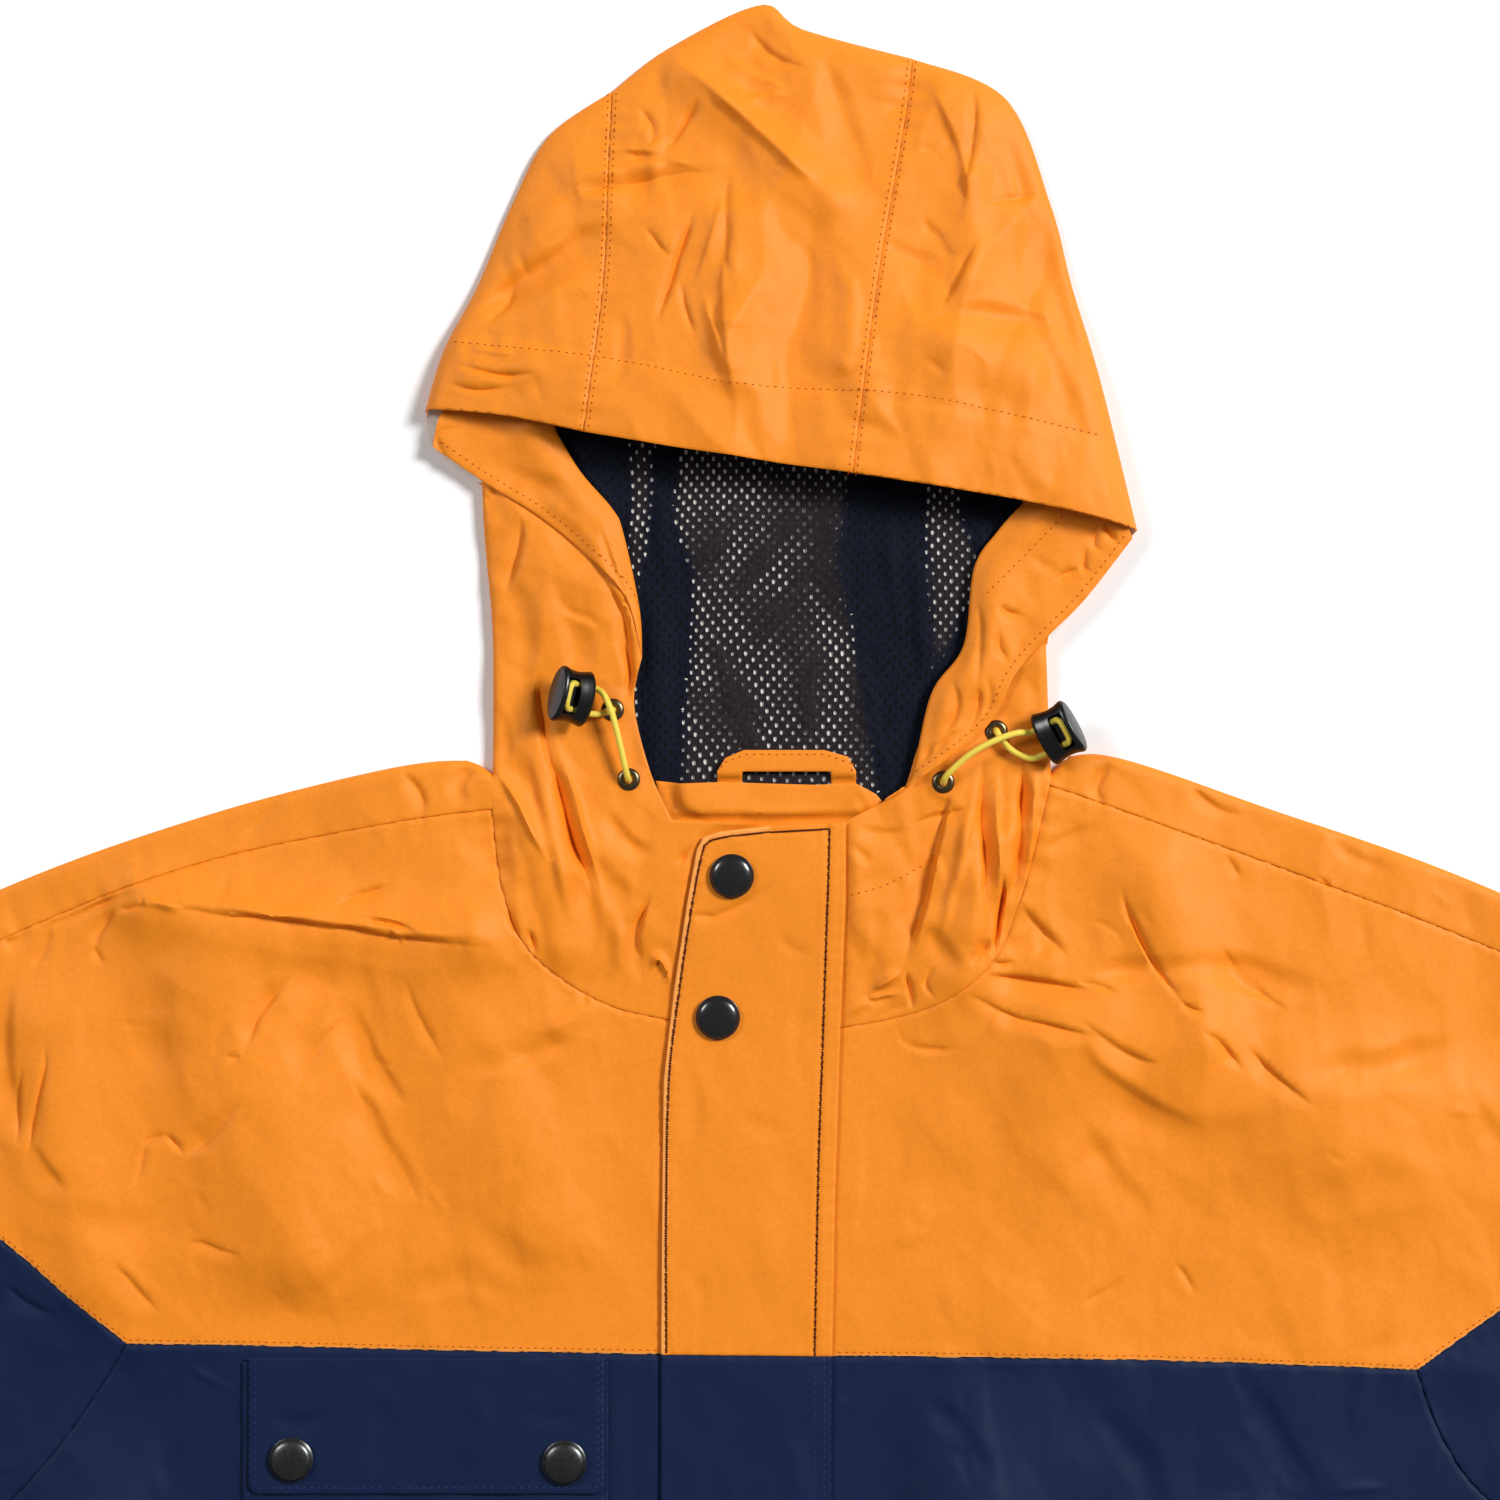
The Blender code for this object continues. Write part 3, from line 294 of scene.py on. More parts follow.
FRONT_CREASES = [
    # neck, wearer's right
    (-89.3, 322, -90.7, 309, -95.4, 293, 3, 6, -1.5, 0.4),
    (-82.6, 264, -81.2, 247, -77.4, 226, 5.0, 2.2, -2.0, 0.2),
    (-81.5, 240, -73.4, 212, -62, 177, 5.4, 2.2, -2.3, 0.15),
    (-86, 238, -77, 203, -69, 166, 6, 4.4, 1.9, 0.5),
    (-75.5, 238, -67.6, 210, -56.6, 176, 2.4, 5.4, 1.5, 0.1),
    (-99.8, 228, -90, 213, -78, 191, 6, 2.2, 1.5, 0.0),
    (-64, 198, -57, 184, -43, 174, 7, 9, -1.8, 0.8),
    (-40.2, 180, -46, 164, -42.9, 145, 1.8, 4, -2.0, 0.0),
    (-42.9, 146, -46, 141, -50, 136, 1.6, 2.5, -1.3, 0.0),
    (-41, 150, -37.5, 155.5, -33.2, 144, 3, 1.5, 1.4, 0.1),
    (-87, 167, -85, 163, -84.4, 157, 1.5, 2, -0.9, 0.0),
    (-94.2, 174, -92, 169, -90, 164, 1.5, 2, -0.8, 0.0),
    (-31, 191, -28, 195, -25, 199, 2, 3, -0.9, 0.1),
    (-74, 258, -70, 274, -77, 292, 5, 8, -1.1, 0.9),
    (-60, 300, -50, 280, -49, 258, 3, 5, -1.6, 0.3),
    (-52, 276, -48, 262, -51, 252, 2, 3, -1.2, 0.1),
    (-58, 214, -50, 200, -38, 196, 4, 6, -1.0, 0.7),
    (-96, 300, -88, 280, -90, 262, 7, 7, -1.0, 1.0),
    (-97, 250, -94, 238, -96, 226, 3, 5, -0.9, 0.5),
    (-62, 150, -66, 143, -64, 137, 2, 3, -0.9, 0.1),
    (-72, 190, -62, 172, -66, 156, 5, 7, -1.1, 0.7),
    (-56, 176, -52, 160, -57, 146, 4, 5, 0.9, 0.6),
    # neck, wearer's left
    (72.4, 222, 65.6, 190, 55.2, 153, 9, 1.6, 1.7, 0.0),
    (70.8, 222, 64.0, 190, 53.6, 152, 1.6, 7, -1.7, 0.0),
    (80.2, 229, 76, 198, 66, 160, 3.2, 4, 1.5, 0.6),
    (93, 232, 91.6, 202, 91, 170, 7, 6, 1.7, 0.8),
    (53.1, 152, 47, 147, 41.4, 144, 2, 4, 1.6, 0.0),
    (41, 144, 42, 140, 51, 142, 2, 2, -1.0, 0.1),
    (54.5, 152, 56, 144, 56.7, 136, 2.4, 1.6, -1.6, 0.0),
    (29, 131.5, 40, 139.8, 55, 143, 2.4, 3.5, 1.3, 0.0),
    (38, 128, 46, 134.6, 56, 139, 1.8, 2.6, -1.1, 0.0),
    (83.2, 232, 83.6, 198, 85.4, 164, 5.4, 2.2, -1.8, 0.1),
    (88.6, 230, 88.9, 198, 89.8, 170, 2.4, 5.4, 1.5, 0.1),
    (86.5, 164, 82, 158, 78, 154, 3, 5, -1.5, 0.4),
    (89.6, 189, 90.4, 176, 86.6, 156, 1.3, 2.0, -1.9, 0.1),
    (99.6, 234, 96.8, 204, 93.8, 176, 4.6, 2.0, -1.7, 0.1),
    (104.2, 232, 101.4, 204, 98.2, 178, 2.2, 4.6, 1.3, 0.1),
    (104.5, 196, 115.3, 201.7, 128, 207, 4, 6, -1.4, 0.6),
    (33, 200, 37, 196, 42, 191, 3, 4, -0.9, 0.5),
    (36, 206, 46, 203, 58, 205, 3, 4, -0.8, 0.6),
    (58, 206, 68, 210, 78, 212, 2, 4, -0.9, 0.3),
    (60, 170, 68, 160, 76, 150, 5, 7, -1.0, 0.8),
    (40, 176, 44, 164, 40, 152, 6, 5, -0.9, 0.8),
    (66, 153, 62, 147, 66, 141, 2, 2, -0.7, 0.2),
    (100, 262, 103, 250, 101, 236, 4, 5, -0.8, 0.7),
    # yoke, wearer's left
    (96.7, 177, 105, 166, 116, 156, 3.5, 9, -1.8, 0.2),
    (83, 150, 104, 146.8, 128, 144.5, 2.2, 8, -2.2, 0.1),
    (86, 155, 90, 154, 95, 155, 1.5, 3, -0.9, 0.1),
    (76, 143.5, 97, 134, 128, 127, 2, 6, -1.7, 0.1),
    (52, 132, 57, 123, 75, 122.5, 3, 2, -1.6, 0.3),
    (45, 118, 48, 122, 50.5, 128, 2, 4, -1.0, 0.3),
    (119, 147, 126, 146, 133, 143, 3, 3, -1.8, 0.0),
    (134.5, 184, 141, 164, 158, 139, 2.5, 1.6, -2.0, 0.0),
    (156, 141, 160, 138, 165, 137, 1.5, 2.5, -1.0, 0.0),
    (122, 148, 142, 152, 168, 151, 7, 6, -2.3, 0.9),
    (150, 158, 182, 150, 216, 142, 8, 8, -2.4, 0.8),
    (172, 162, 184, 147, 198, 136, 1.6, 4, -1.8, 0.0),
    (119, 134, 135, 122, 151, 117, 3, 8, -1.7, 0.4),
    (163, 130, 173, 123, 180, 114, 2, 4, -1.4, 0.1),
    (181, 125, 193, 112, 207, 101, 2, 6, -1.7, 0.1),
    (198, 116, 232, 116, 264, 126, 9, 10, -2.8, 0.9),
    (117, 131, 133, 108, 168, 91, 5, 14, -2.0, 0.8),
    (117, 99, 131, 76, 148, 55, 7, 15, -2.0, 0.8),
    (92, 123, 112, 88, 142, 60, 16, 18, 2.0, 1.0),
    (126, 109, 158, 90, 206, 100, 10, 16, -1.6, 1.0),
    (175, 195, 177, 191, 180, 186, 1.6, 3, -1.0, 0.1),
    (208, 187, 211, 185, 214, 182, 1.2, 2, -0.7, 0.1),
    (155, 42, 160, 36, 163, 30, 2, 3, -0.8, 0.1),
    (119, 26, 128, 31, 137, 38, 2, 4, -0.8, 0.4),
    (262, 112, 270, 96, 280, 84, 6, 8, -1.3, 0.8),
    (204, 60, 226, 72, 250, 70, 12, 12, -1.4, 1.0),
    (50, 90, 70, 60, 62, 26, 14, 14, -1.2, 1.0),
    (44, 108, 52, 84, 48, 60, 5, 8, -1.0, 0.8),
    # yoke, wearer's right
    (-272.8, 166.5, -240, 178.5, -229, 183, 1.4, 3, -1.1, 0.0),
    (-231.2, 180, -231, 175.6, -240.5, 174.2, 1.5, 3, -1.4, 0.0),
    (-240.5, 174.2, -247, 166, -248.7, 160, 1.8, 4, -1.6, 0.0),
    (-249, 161, -248, 157, -245.4, 154, 2, 3, -1.0, 0.1),
    (-230, 174.5, -226.8, 177.5, -213.6, 174.6, 2, 3.5, 1.6, 0.1),
    (-226, 176, -176, 169.6, -97, 160, 2.2, 11, -3.0, 0.0),
    (-226, 178.5, -176, 172.4, -96, 163.5, 6, 2.0, 1.7, 0.1),
    (-266, 169, -267.3, 160.3, -273, 152, 2.5, 4, -1.6, 0.1),
    (-284, 161, -278, 163, -273, 166.5, 2, 5, -1.8, 0.1),
    (-279, 150, -282, 120, -276, 88, 5, 8, -2.4, 0.6),
    (-265, 126, -268, 112, -273.8, 79, 1.4, 2.6, -1.7, 0.0),
    (-275.5, 116, -276.6, 102, -277.1, 86, 1.4, 2.2, -1.5, 0.0),
    (-273, 88, -267, 78, -258, 69, 4, 8, -1.8, 0.5),
    (-174, 150, -187, 134, -193, 119, 3, 6, -1.8, 0.3),
    (-193, 120.5, -196, 119.4, -199, 120.5, 1.5, 3, -0.9, 0.1),
    (-200.5, 130, -202, 121, -204, 112, 3, 4, -0.8, 0.5),
    (-193, 104, -206, 88, -217, 83, 4, 7, -1.7, 0.4),
    (-215, 83, -219, 87, -222.5, 91, 2, 3, -1.0, 0.0),
    (-222, 90.5, -226, 89, -231, 86, 1.6, 4, -0.9, 0.2),
    (-229, 88, -231, 80, -234, 72, 2.5, 3, -0.9, 0.2),
    (-152.3, 143, -146, 122, -130, 97, 4, 10, -1.9, 0.5),
    (-154, 116, -145, 94, -126, 62, 5, 12, -2.9, 0.4),
    (-155.6, 134, -167, 120, -173.5, 106, 5, 2.6, -1.4, 0.1),
    (-158, 165, -169, 134, -168, 106, 9, 9, -1.6, 1.0),
    (-242, 44, -233, 33, -224, 23, 3, 7, -1.2, 0.4),
    (-215, 50, -205, 48.5, -193, 45, 2, 5, -0.9, 0.3),
    (-138, 56, -156, 38, -171, 28, 8, 7, -1.3, 0.8),
    (-158, 176, -149, 180, -137, 183.5, 2, 4, -1.3, 0.3),
    (-150, 172, -139, 170, -126, 165.5, 1.6, 3.5, -1.8, 0.1),
    (-138, 169, -134, 164, -132, 161, 3, 1.5, 1.3, 0.1),
    (-200, 190, -199, 184, -202, 178, 3, 4, -0.8, 0.5),
    (-133, 150, -126, 132, -118, 118, 3, 5, -1.0, 0.4),
    (-112, 128, -106, 112, -112, 92, 10, 12, -1.3, 1.0),
    (-60, 140.6, -70, 133, -84, 126.5, 8, 5, 1.7, 0.3),
    (-62, 132, -84, 121, -112, 112, 5, 9, -1.7, 0.5),
    (-232, 150, -224, 130, -232, 108, 12, 12, -1.2, 1.0),
    (-262, 66, -240, 56, -218, 66, 9, 10, -1.0, 1.0),
    (-104, 60, -92, 44, -70, 40, 9, 9, -1.0, 1.0),
    (-90, 24, -112, 36, -140, 26, 7, 10, -0.8, 1.0),
    # back strip along the shoulders
    (-104, 229, -112, 222, -108, 212, 4, 6, -1.8, 0.5),
    (-134, 226, -126, 216, -128, 209, 3, 5, -1.3, 0.4),
    (132, 229, 126, 221, 129, 213, 3, 5, -1.4, 0.4),
    (160, 222, 170, 213, 182, 210, 3, 5, -1.2, 0.4),
    (214, 203, 222, 194, 236, 190, 3, 5, -1.2, 0.5),
    (-176, 216, -188, 206, -192, 198, 3, 6, -1.1, 0.5),
    # navy body and sleeve just under the yoke
    (60, -8, 78, -26, 84, -50, 6, 8, -1.2, 0.8),
    (180, 2, 192, -20, 210, -46, 6, 9, -1.3, 0.7),
    (-214, 4, -222, -20, -216, -50, 7, 8, -1.3, 0.8),
    (-48, 4, -46, -24, -50, -60, 4, 6, -1.0, 0.7),
    (-283, 35, -272, 26, -262, 22, 2.5, 5, -1.1, 0.3),
    (120, -10, 140, -30, 150, -60, 8, 8, -1.0, 1.0),
]
FACING_CREASES = [
    (-115, 341, -121, 351, -110, 354, 3, 3, -1.0, 0.2),
    (-104, 345, -86, 334, -66, 330, 6, 9, -1.3, 0.8),
    (-84, 333, -68, 318, -56, 305, 4, 5, 0.8, 0.7),
    (-60, 318, -54, 302, -48, 284, 2, 4, -1.2, 0.2),
    (127.3, 320, 124.6, 311, 128.4, 308.8, 2, 3, -1.5, 0.0),
    (128, 320, 130, 315.6, 133, 310.6, 1.6, 3, -1.5, 0.0),
    (122.5, 310.5, 121, 303, 124.5, 300.8, 2, 3, -1.3, 0.1),
    (109.8, 296.5, 114, 299.8, 120.3, 301.4, 2, 4, -1.3, 0.2),
    (101, 308, 106, 303, 112, 301, 3, 4, -0.8, 0.5),
    (88.8, 288, 92, 285.6, 98, 284.2, 2, 4, -1.3, 0.2),
    (90, 279, 89.6, 271.6, 93.5, 267, 2, 4, -1.3, 0.2),
    (80.6, 291, 82, 275, 80.4, 257, 3, 4, -2.0, 0.1),
    (80.4, 258, 82, 251, 77.6, 242, 2, 4, -1.6, 0.1),
    (70.4, 261, 73, 249, 65, 237, 2, 5, -1.5, 0.2),
    (65.4, 237.6, 61, 231, 56.4, 224.6, 2, 3, -1.3, 0.1),
    (75, 240.6, 70, 238, 65, 232, 1.8, 3, -1.3, 0.1),
    (84, 262, 86, 252, 82, 246, 3, 3, -0.9, 0.4),
    (104, 284, 98, 276, 96, 268, 3, 5, -0.9, 0.6),
]
FLAP_CREASES = [
    (-26, 169, -10, 174, 4.5, 184.5, 4, 3, -1.5, 0.1),
    (-26, 171.5, -21, 172, -16, 171, 2, 2, -0.6, 0.1),
    (-30, 120, -24, 100, -28, 78, 5, 6, -0.7, 0.8),
    (20, 150, 14, 128, 18, 106, 5, 5, -0.6, 0.8),
    (-4, 70, 4, 50, 0, 28, 8, 8, 0.6, 1.0),
    (6, 168, 12, 160, 22, 158, 3, 4, -0.5, 0.5),
    (-8, 100, 2, 92, 12, 94, 6, 6, -0.5, 0.9),
    (-30, 40, -22, 30, -24, 14, 5, 5, -0.5, 0.8),
    (-20, -30, -14, -60, -18, -96, 7, 7, -0.8, 0.8),
    (10, -16, 14, -50, 8, -90, 7, 7, 0.8, 0.8),
]
POCKET_CREASES = [
    (-150, -6, -140, -20, -146, -40, 7, 8, -0.8, 0.9),
    (-110, -2, -104, -18, -112, -36, 7, 7, 0.8, 0.9),
    (-186, -12, -172, -18, -160, -12, 5, 6, -0.6, 0.6),
    (-90, -10, -80, -16, -66, -12, 5, 6, -0.6, 0.6),
    (-150, -60, -138, -96, -144, -140, 10, 12, -1.2, 1.0),
    (-100, -56, -92, -90, -104, -134, 9, 10, 1.2, 1.0),
]
BAND_CREASES = [
    (-34, 221, -29, 211, -18, 207, 4, 4, -1.5, 0.4),
    (36, 219, 40, 211, 44, 203, 3, 4, -1.2, 0.2),
    (30, 206, 36, 210, 45, 212, 2, 3, -0.8, 0.2),
    (-10, 212, 6, 210, 22, 212, 4, 5, 0.6, 0.8),
    (-6, 230, 8, 231.4, 24, 230, 2, 2, 0.5, 0.8),
]
# folds of the mesh lining: columns as above
LINING_FOLDS = [
    (-38, 345, -37, 318, -35, 290, 7, 5, 2.6, 0.6),
    (-35, 300, -38, 262, -36, 222, 8, 7, 2.6, 0.7),
    (-70, 350, -60, 330, -55, 308, 8, 8, 2.2, 0.8),
    (34, 338, 30, 306, 37, 270, 3, 10, 2.8, 0.3),
    (38, 275, 44, 245, 50, 214, 3, 9, 2.8, 0.4),
    (50, 335, 50, 300, 56, 262, 4, 5, 1.6, 0.5),
    (58, 320, 60, 290, 62, 250, 4, 4, 1.8, 0.4),
    (66, 335, 68, 290, 66, 255, 5, 5, -0.7, 0.6),
    (80, 330, 84, 310, 88, 290, 6, 6, 1.8, 0.6),
    (-4, 336, -14, 314, -28, 300, 4, 6, 1.2, 0.4),
    (16, 328, 2, 306, -14, 290, 4, 7, 1.3, 0.4),
    (24, 312, 12, 290, -8, 268, 5, 6, 1.1, 0.5),
    (-26, 288, -12, 262, 8, 238, 5, 6, 1.2, 0.4),
    (-18, 262, -6, 244, 4, 230, 4, 5, 1.0, 0.4),
    (22, 276, 18, 250, 24, 226, 6, 5, 0.9, 0.6),
]
# stretches of the lining that lie over a second layer, so nothing pale shows through: outlines
LINING_DOUBLED = [
    [(35.1, 342), (32.5, 323), (30, 305), (35, 282), (42, 240), (46, 205), (60, 205), (61, 250),
     (64, 262), (64, 282), (61.6, 309), (61.6, 342)],
    [(-39, 352), (-41, 320), (-45, 290), (-45, 205), (-30, 205), (-29, 252), (-26, 271),
     (-26, 301), (-33, 320), (-30, 352)],
    [(-90, 372), (-49, 372), (-49, 330), (-52, 300), (-90, 300)],
    [(76, 372), (76, 322), (84, 300), (70, 270), (62, 262), (60, 205), (120, 205), (120, 372)],
]

# how far each facing, and each side of the neck, runs on under the brim
BEHIND = {
    "right": [(-90, 370), (-114, 370), (-120, 357)],
    "left": [(104, 345), (124, 348), (132, 330)],
}
UNDER_BRIM = {
    "right": [(-100, 364), (-80, 364)],
    "left": [(112, 300), (118, 340), (104, 340)],
}
MESH_OUTLINE = [(-84, 370), (-84, 330), (-64, 270), (-62, 212), (62, 212), (80, 235), (96, 290),
                (110, 330), (110, 370)]
BAND_OUTLINE = [(-36, 198), (46, 198), (46.5, 214), (43.5, 217.5), (36, 221.5), (20, 221), (-15, 222),
                (-30, 221.5), (-39, 222.5)]
LOOP_OUTLINE = [(-16, 216), (-7, 216), (-6.5, 226), (26.5, 226), (27, 216), (36, 216), (36, 226),
                (33, 231.5), (24, 234), (-6, 234), (-13, 231), (-16, 226)]
LOOP_STITCH = [(-14.4, 226), (-14.2, 229), (-5, 232.4), (24, 232.4), (34.2, 229), (34.4, 226)]

# ---- small pieces ----
SNAPS = {
    "snap_flap_upper": (-10.5, 187, 2),
    "snap_flap_lower": (-15.7, 134, 2),
    "snap_pocket_right": (-175, -31, 3),
    "snap_pocket_left": (-73, -32, 3),
}
EYELETS = {
    "eyelet_right_lower": (-49.0, 223.0),
    "eyelet_right_upper": (-55.0, 249.0),
    "eyelet_left_lower": (68.5, 222.0),
    "eyelet_left_upper": (88.3, 241.0),
}
LOCKS = {
    "cord_lock_right": {"middle": (-68.0, 253.5, 14.1), "heading": 167, "tilt": 35},
    "cord_lock_left": {"middle": (109.0, 239.5, 13.4), "heading": 28, "tilt": 22},
}
# loose points of each cord between the eyelets and its lock
CORD_LEADS = {
    "right": {
        "out": [(-49, 223, 3.4), (-49, 223, 5.2), (-49, 223, 7.4), (-49.9, 226.6, 10.0),
                (-52.4, 238.0, 12.0), (-55.0, 248.0, 12.6), (-58.0, 254.6, 11.2)],
        "back": [(-60.0, 247.4, 8.9), (-56.8, 248.3, 8.6), (-55, 249, 7.2), (-55, 249, 5.2),
                 (-55, 249, 3.4)],
    },
    "left": {
        "out": [(68.5, 222, 3.4), (68.5, 222, 5.2), (68.5, 222, 7.4), (70.0, 225.2, 10.0),
                (78.0, 232.4, 12.0), (87.0, 237.4, 12.8), (95.0, 240.2, 12.2)],
        "back": [(100.5, 230.8, 9.8), (94.5, 233.4, 8.9), (90.3, 237.4, 8.7), (88.3, 241.0, 7.2),
                 (88.3, 241.0, 5.2), (88.3, 241.0, 3.4)],
    },
}


def linear(code):
    """The linear RGB of an sRGB hex colour."""
    shares = [int(code[i:i + 2], 16) / 255 for i in (0, 2, 4)]
    return tuple(s / 12.92 if s <= 0.04045 else ((s + 0.055) / 1.055) ** 2.4 for s in shares)


# ---- sizes and colours that a user would change ----
class ClothSettings(bpy.types.PropertyGroup):
    wall: FloatProperty(name="Cloth wall", description="Thickness of one layer of shell cloth",
                        default=0.8 * MM, min=0.2 * MM, unit="LENGTH", precision=5)
    mesh_wall: FloatProperty(name="Mesh wall", description="Thickness of the mesh lining",
                             default=0.5 * MM, min=0.1 * MM, unit="LENGTH", precision=5)
    near_step: FloatProperty(name="Near spacing", description="Spacing of points where the picture looks",
                             default=1.5 * MM, min=1.0 * MM, unit="LENGTH", precision=5)
    far_step: FloatProperty(name="Far spacing", description="Spacing of points elsewhere",
                            default=6.0 * MM, min=2.0 * MM, unit="LENGTH", precision=5)
    crease_height: FloatProperty(name="Crease height", description="Share of the creases' full height",
                                 default=1.15, min=0.0, max=3.0)
    seed: IntProperty(name="Seed", description="Seed of the fine creases", default=7)


class ColourSettings(bpy.types.PropertyGroup):
    orange: FloatVectorProperty(name="Orange", description="Coated orange cloth",
                                subtype="COLOR", default=linear("EE8818"))
    navy: FloatVectorProperty(name="Navy", description="Coated navy cloth",
                              subtype="COLOR", default=linear("081B3E"))
    lining: FloatVectorProperty(name="Lining", description="Yarn of the mesh lining",
                                subtype="COLOR", default=linear("0A1020"))
    cord: FloatVectorProperty(name="Cord", description="Yellow drawcord",
                              subtype="COLOR", default=linear("FBE04A"))


class StageSettings(bpy.types.PropertyGroup):
    camera_height: FloatProperty(name="Camera height", description="Camera above the table",
                                 default=CAMERA_HEIGHT * MM, min=0.3, unit="LENGTH")
    softbox: FloatProperty(name="Softboxes", description="Power of each of the two soft lights",
                           default=169.0, min=0.0, unit="POWER")
    ambient: FloatProperty(name="Ambient", description="Strength of the light from all round",
                           default=0.16, min=0.0)


# ---- drawing in plan ----
def curve_through(points, step):
    """A smooth line through the points, with a point about every step."""
    if len(points) < 3:
        a, b = np.array(points[0], float), np.array(points[-1], float)
        count = max(1, round(float(np.linalg.norm(b - a)) / step))
        return [tuple(a + (b - a) * k / count) for k in range(count + 1)]
    ends = [points[0]] + list(points) + [points[-1]]
    line = []
    for a, b, c, d in zip(ends, ends[1:], ends[2:], ends[3:]):
        count = max(1, round(math.dist(b, c) / step))
        for k in range(count):
            t = k / count
            line.append(tuple(
                0.5 * (2 * q + (r - p) * t + (2 * p - 5 * q + 4 * r - s) * t ** 2
                       + (3 * q - p - 3 * r + s) * t ** 3)
                for p, q, r, s in zip(a, b, c, d)))
    return line + [tuple(points[-1])]


def line_of(name, step=6.0):
    """A named line, run backwards if its name starts with "-"."""
    line = curve_through(LINES[name.lstrip("-")], step)
    return line[::-1] if name.startswith("-") else line


def smoothstep(value, start, end):
    t = np.clip((value - start) / (end - start), 0, 1)
    return t * t * (3 - 2 * t)


def along(xy, line):
    """For each point: its distance to the line, its side (1 on the left) and how far along, mm."""
    line = np.asarray(line, float)
    best = np.full(len(xy), np.inf)
    side = np.ones(len(xy))
    place = np.zeros(len(xy))
    passed = 0.0
    for a, b in zip(line, line[1:]):
        length = float(np.hypot(*(b - a)))
        if length < 1e-6:
            continue
        run = (b - a) / length
        off = xy - a
        t = np.clip(off @ run, 0, length)
        gap = off - t[:, None] * run
        away = np.hypot(gap[:, 0], gap[:, 1])
        closer = away < best
        best[closer] = away[closer]
        side[closer] = np.where(run[0] * off[closer, 1] - run[1] * off[closer, 0] >= 0, 1.0, -1.0)
        place[closer] = passed + t[closer]
        passed += length
    return best, side, place


def away_from(xy, line):
    return along(xy, line)[0]


def inside(xy, outline):
    x, y = xy[:, 0], xy[:, 1]
    hit = np.zeros(len(xy), bool)
    outline = np.asarray(outline, float)
    for (x0, y0), (x1, y1) in zip(outline, np.roll(outline, -1, axis=0)):
        if y0 != y1:
            hit ^= ((y0 > y) != (y1 > y)) & (x < (x1 - x0) * (y - y0) / (y1 - y0) + x0)
    return hit


def in_view(x, y):
    return (VIEW[0] < x) & (x < VIEW[1]) & (VIEW[2] < y) & (y < VIEW[3])


def area_of(outline):
    x, y = np.asarray(outline, float).T
    return float(np.dot(x, np.roll(y, -1)) - np.dot(y, np.roll(x, -1))) / 2


# ---- heights over the table, mm ----
CREST = 0.3           # radius of a sharp crease's crest
PRESSED = 0.25        # depth of the pressed line along a sharp trough, and half its width
PRESSED_WIDE = 0.75
SPREAD = 0.3          # a crease fades over this much,
SPREAD_SHARE = 0.6    # this many times the width in its row,
SPREAD_WIDE = 0.7     # and this many times what that width has over 3 mm
KINK = 0.8            # how far a crease strays from its smooth line,
KINK_STEP = 8.0       # at knots this far apart
SHARP = 0.45          # creases with a crest up to this get rows of points of their own
GUIDE_STEP = 1.4      # spacing of those points along the crease
GUIDE_ASIDE = 0.75    # and of the rows beside it
TAPER = 0.36          # share of a crease's length over which it runs out, at each end
LEVEL = CLOTH - 0.1   # outer face of a layer over its underside
SOFT_STOP = 0.7       # a face that would dip below its least level eases down to it over this

# slow waves: (height, size, seed) of each
SWAY = {
    "front": ((0.35, 70, 3), (0.16, 22, 4)),
    "crown": ((0.3, 60, 5), (0.14, 20, 6)),
    "facing": ((0.3, 34, 8), (0.12, 13, 9)),
    "lining": ((0.3, 26, 11),),
    "band": ((0.35, 22, 21),),
    "flap": ((0.3, 40, 31), (0.12, 15, 32)),
    "pocket": ((0.25, 40, 33), (0.1, 14, 34)),
    "pocket_flap": ((0.25, 40, 35), (0.1, 14, 36)),
}
# crumpled facets: (height, size, seed, heading in degrees, stretch) of each
CRUMPLE = {
    "neck": ((2.6, 17, 41, 105, 2.2), (0.7, 7, 42, 95, 1.5)),
    "chest": ((1.5, 36, 43, 60, 1.8), (0.8, 13, 44, 100, 2.0), (0.22, 6, 47, 90, 1.5)),
    "body": ((1.7, 30, 45, 95, 1.8), (0.6, 11, 46, 80, 1.8)),
    "crown": ((3.6, 30, 51, 75, 1.9), (1.5, 12, 52, 115, 2.2), (0.3, 5.5, 53, 90, 1.5)),
    "facing": ((1.3, 15, 54, 120, 2.0), (0.4, 6, 55, 90, 1.5)),
    "lining": ((0.7, 13, 63, 100, 1.8),),
    "band": ((0.9, 12, 61, 80, 1.6), (0.3, 6, 62, 90, 1.5)),
}
# ripples along a seam: height, pitch, reach
PUCKERS = {
    "neck_seam": (0.32, 9.0, 5.0),
    "front_shoulder": (0.22, 8.0, 4.0),
    "yoke": (0.14, 7.0, 4.0),
    "slant": (0.14, 7.0, 4.0),
    "hood_seam": (0.5, 8.0, 6.0),
    "facing_edge": (0.22, 7.0, 4.0),
}
CHANNEL_PUCKERS = (0.4, 10.0, 7.0)
FLAP_PUCKERS = (0.15, 6.0, 4.0)
# where the front has no large folds: flat up to the first reach, folded fully from the second
FLAP_FLAT = (42, 72)                                  # from the middle line
POCKET_FLAT = ((-125, 80, 112), (-77, 92, 124))       # centre and reaches, across and along
CORD_FLAT = ((-58, 240, 34, 48), (82, 236, 24, 38))   # round each drawcord: centre and reaches
CORD_FLAT_FOOT = 200                                  # and only above this level
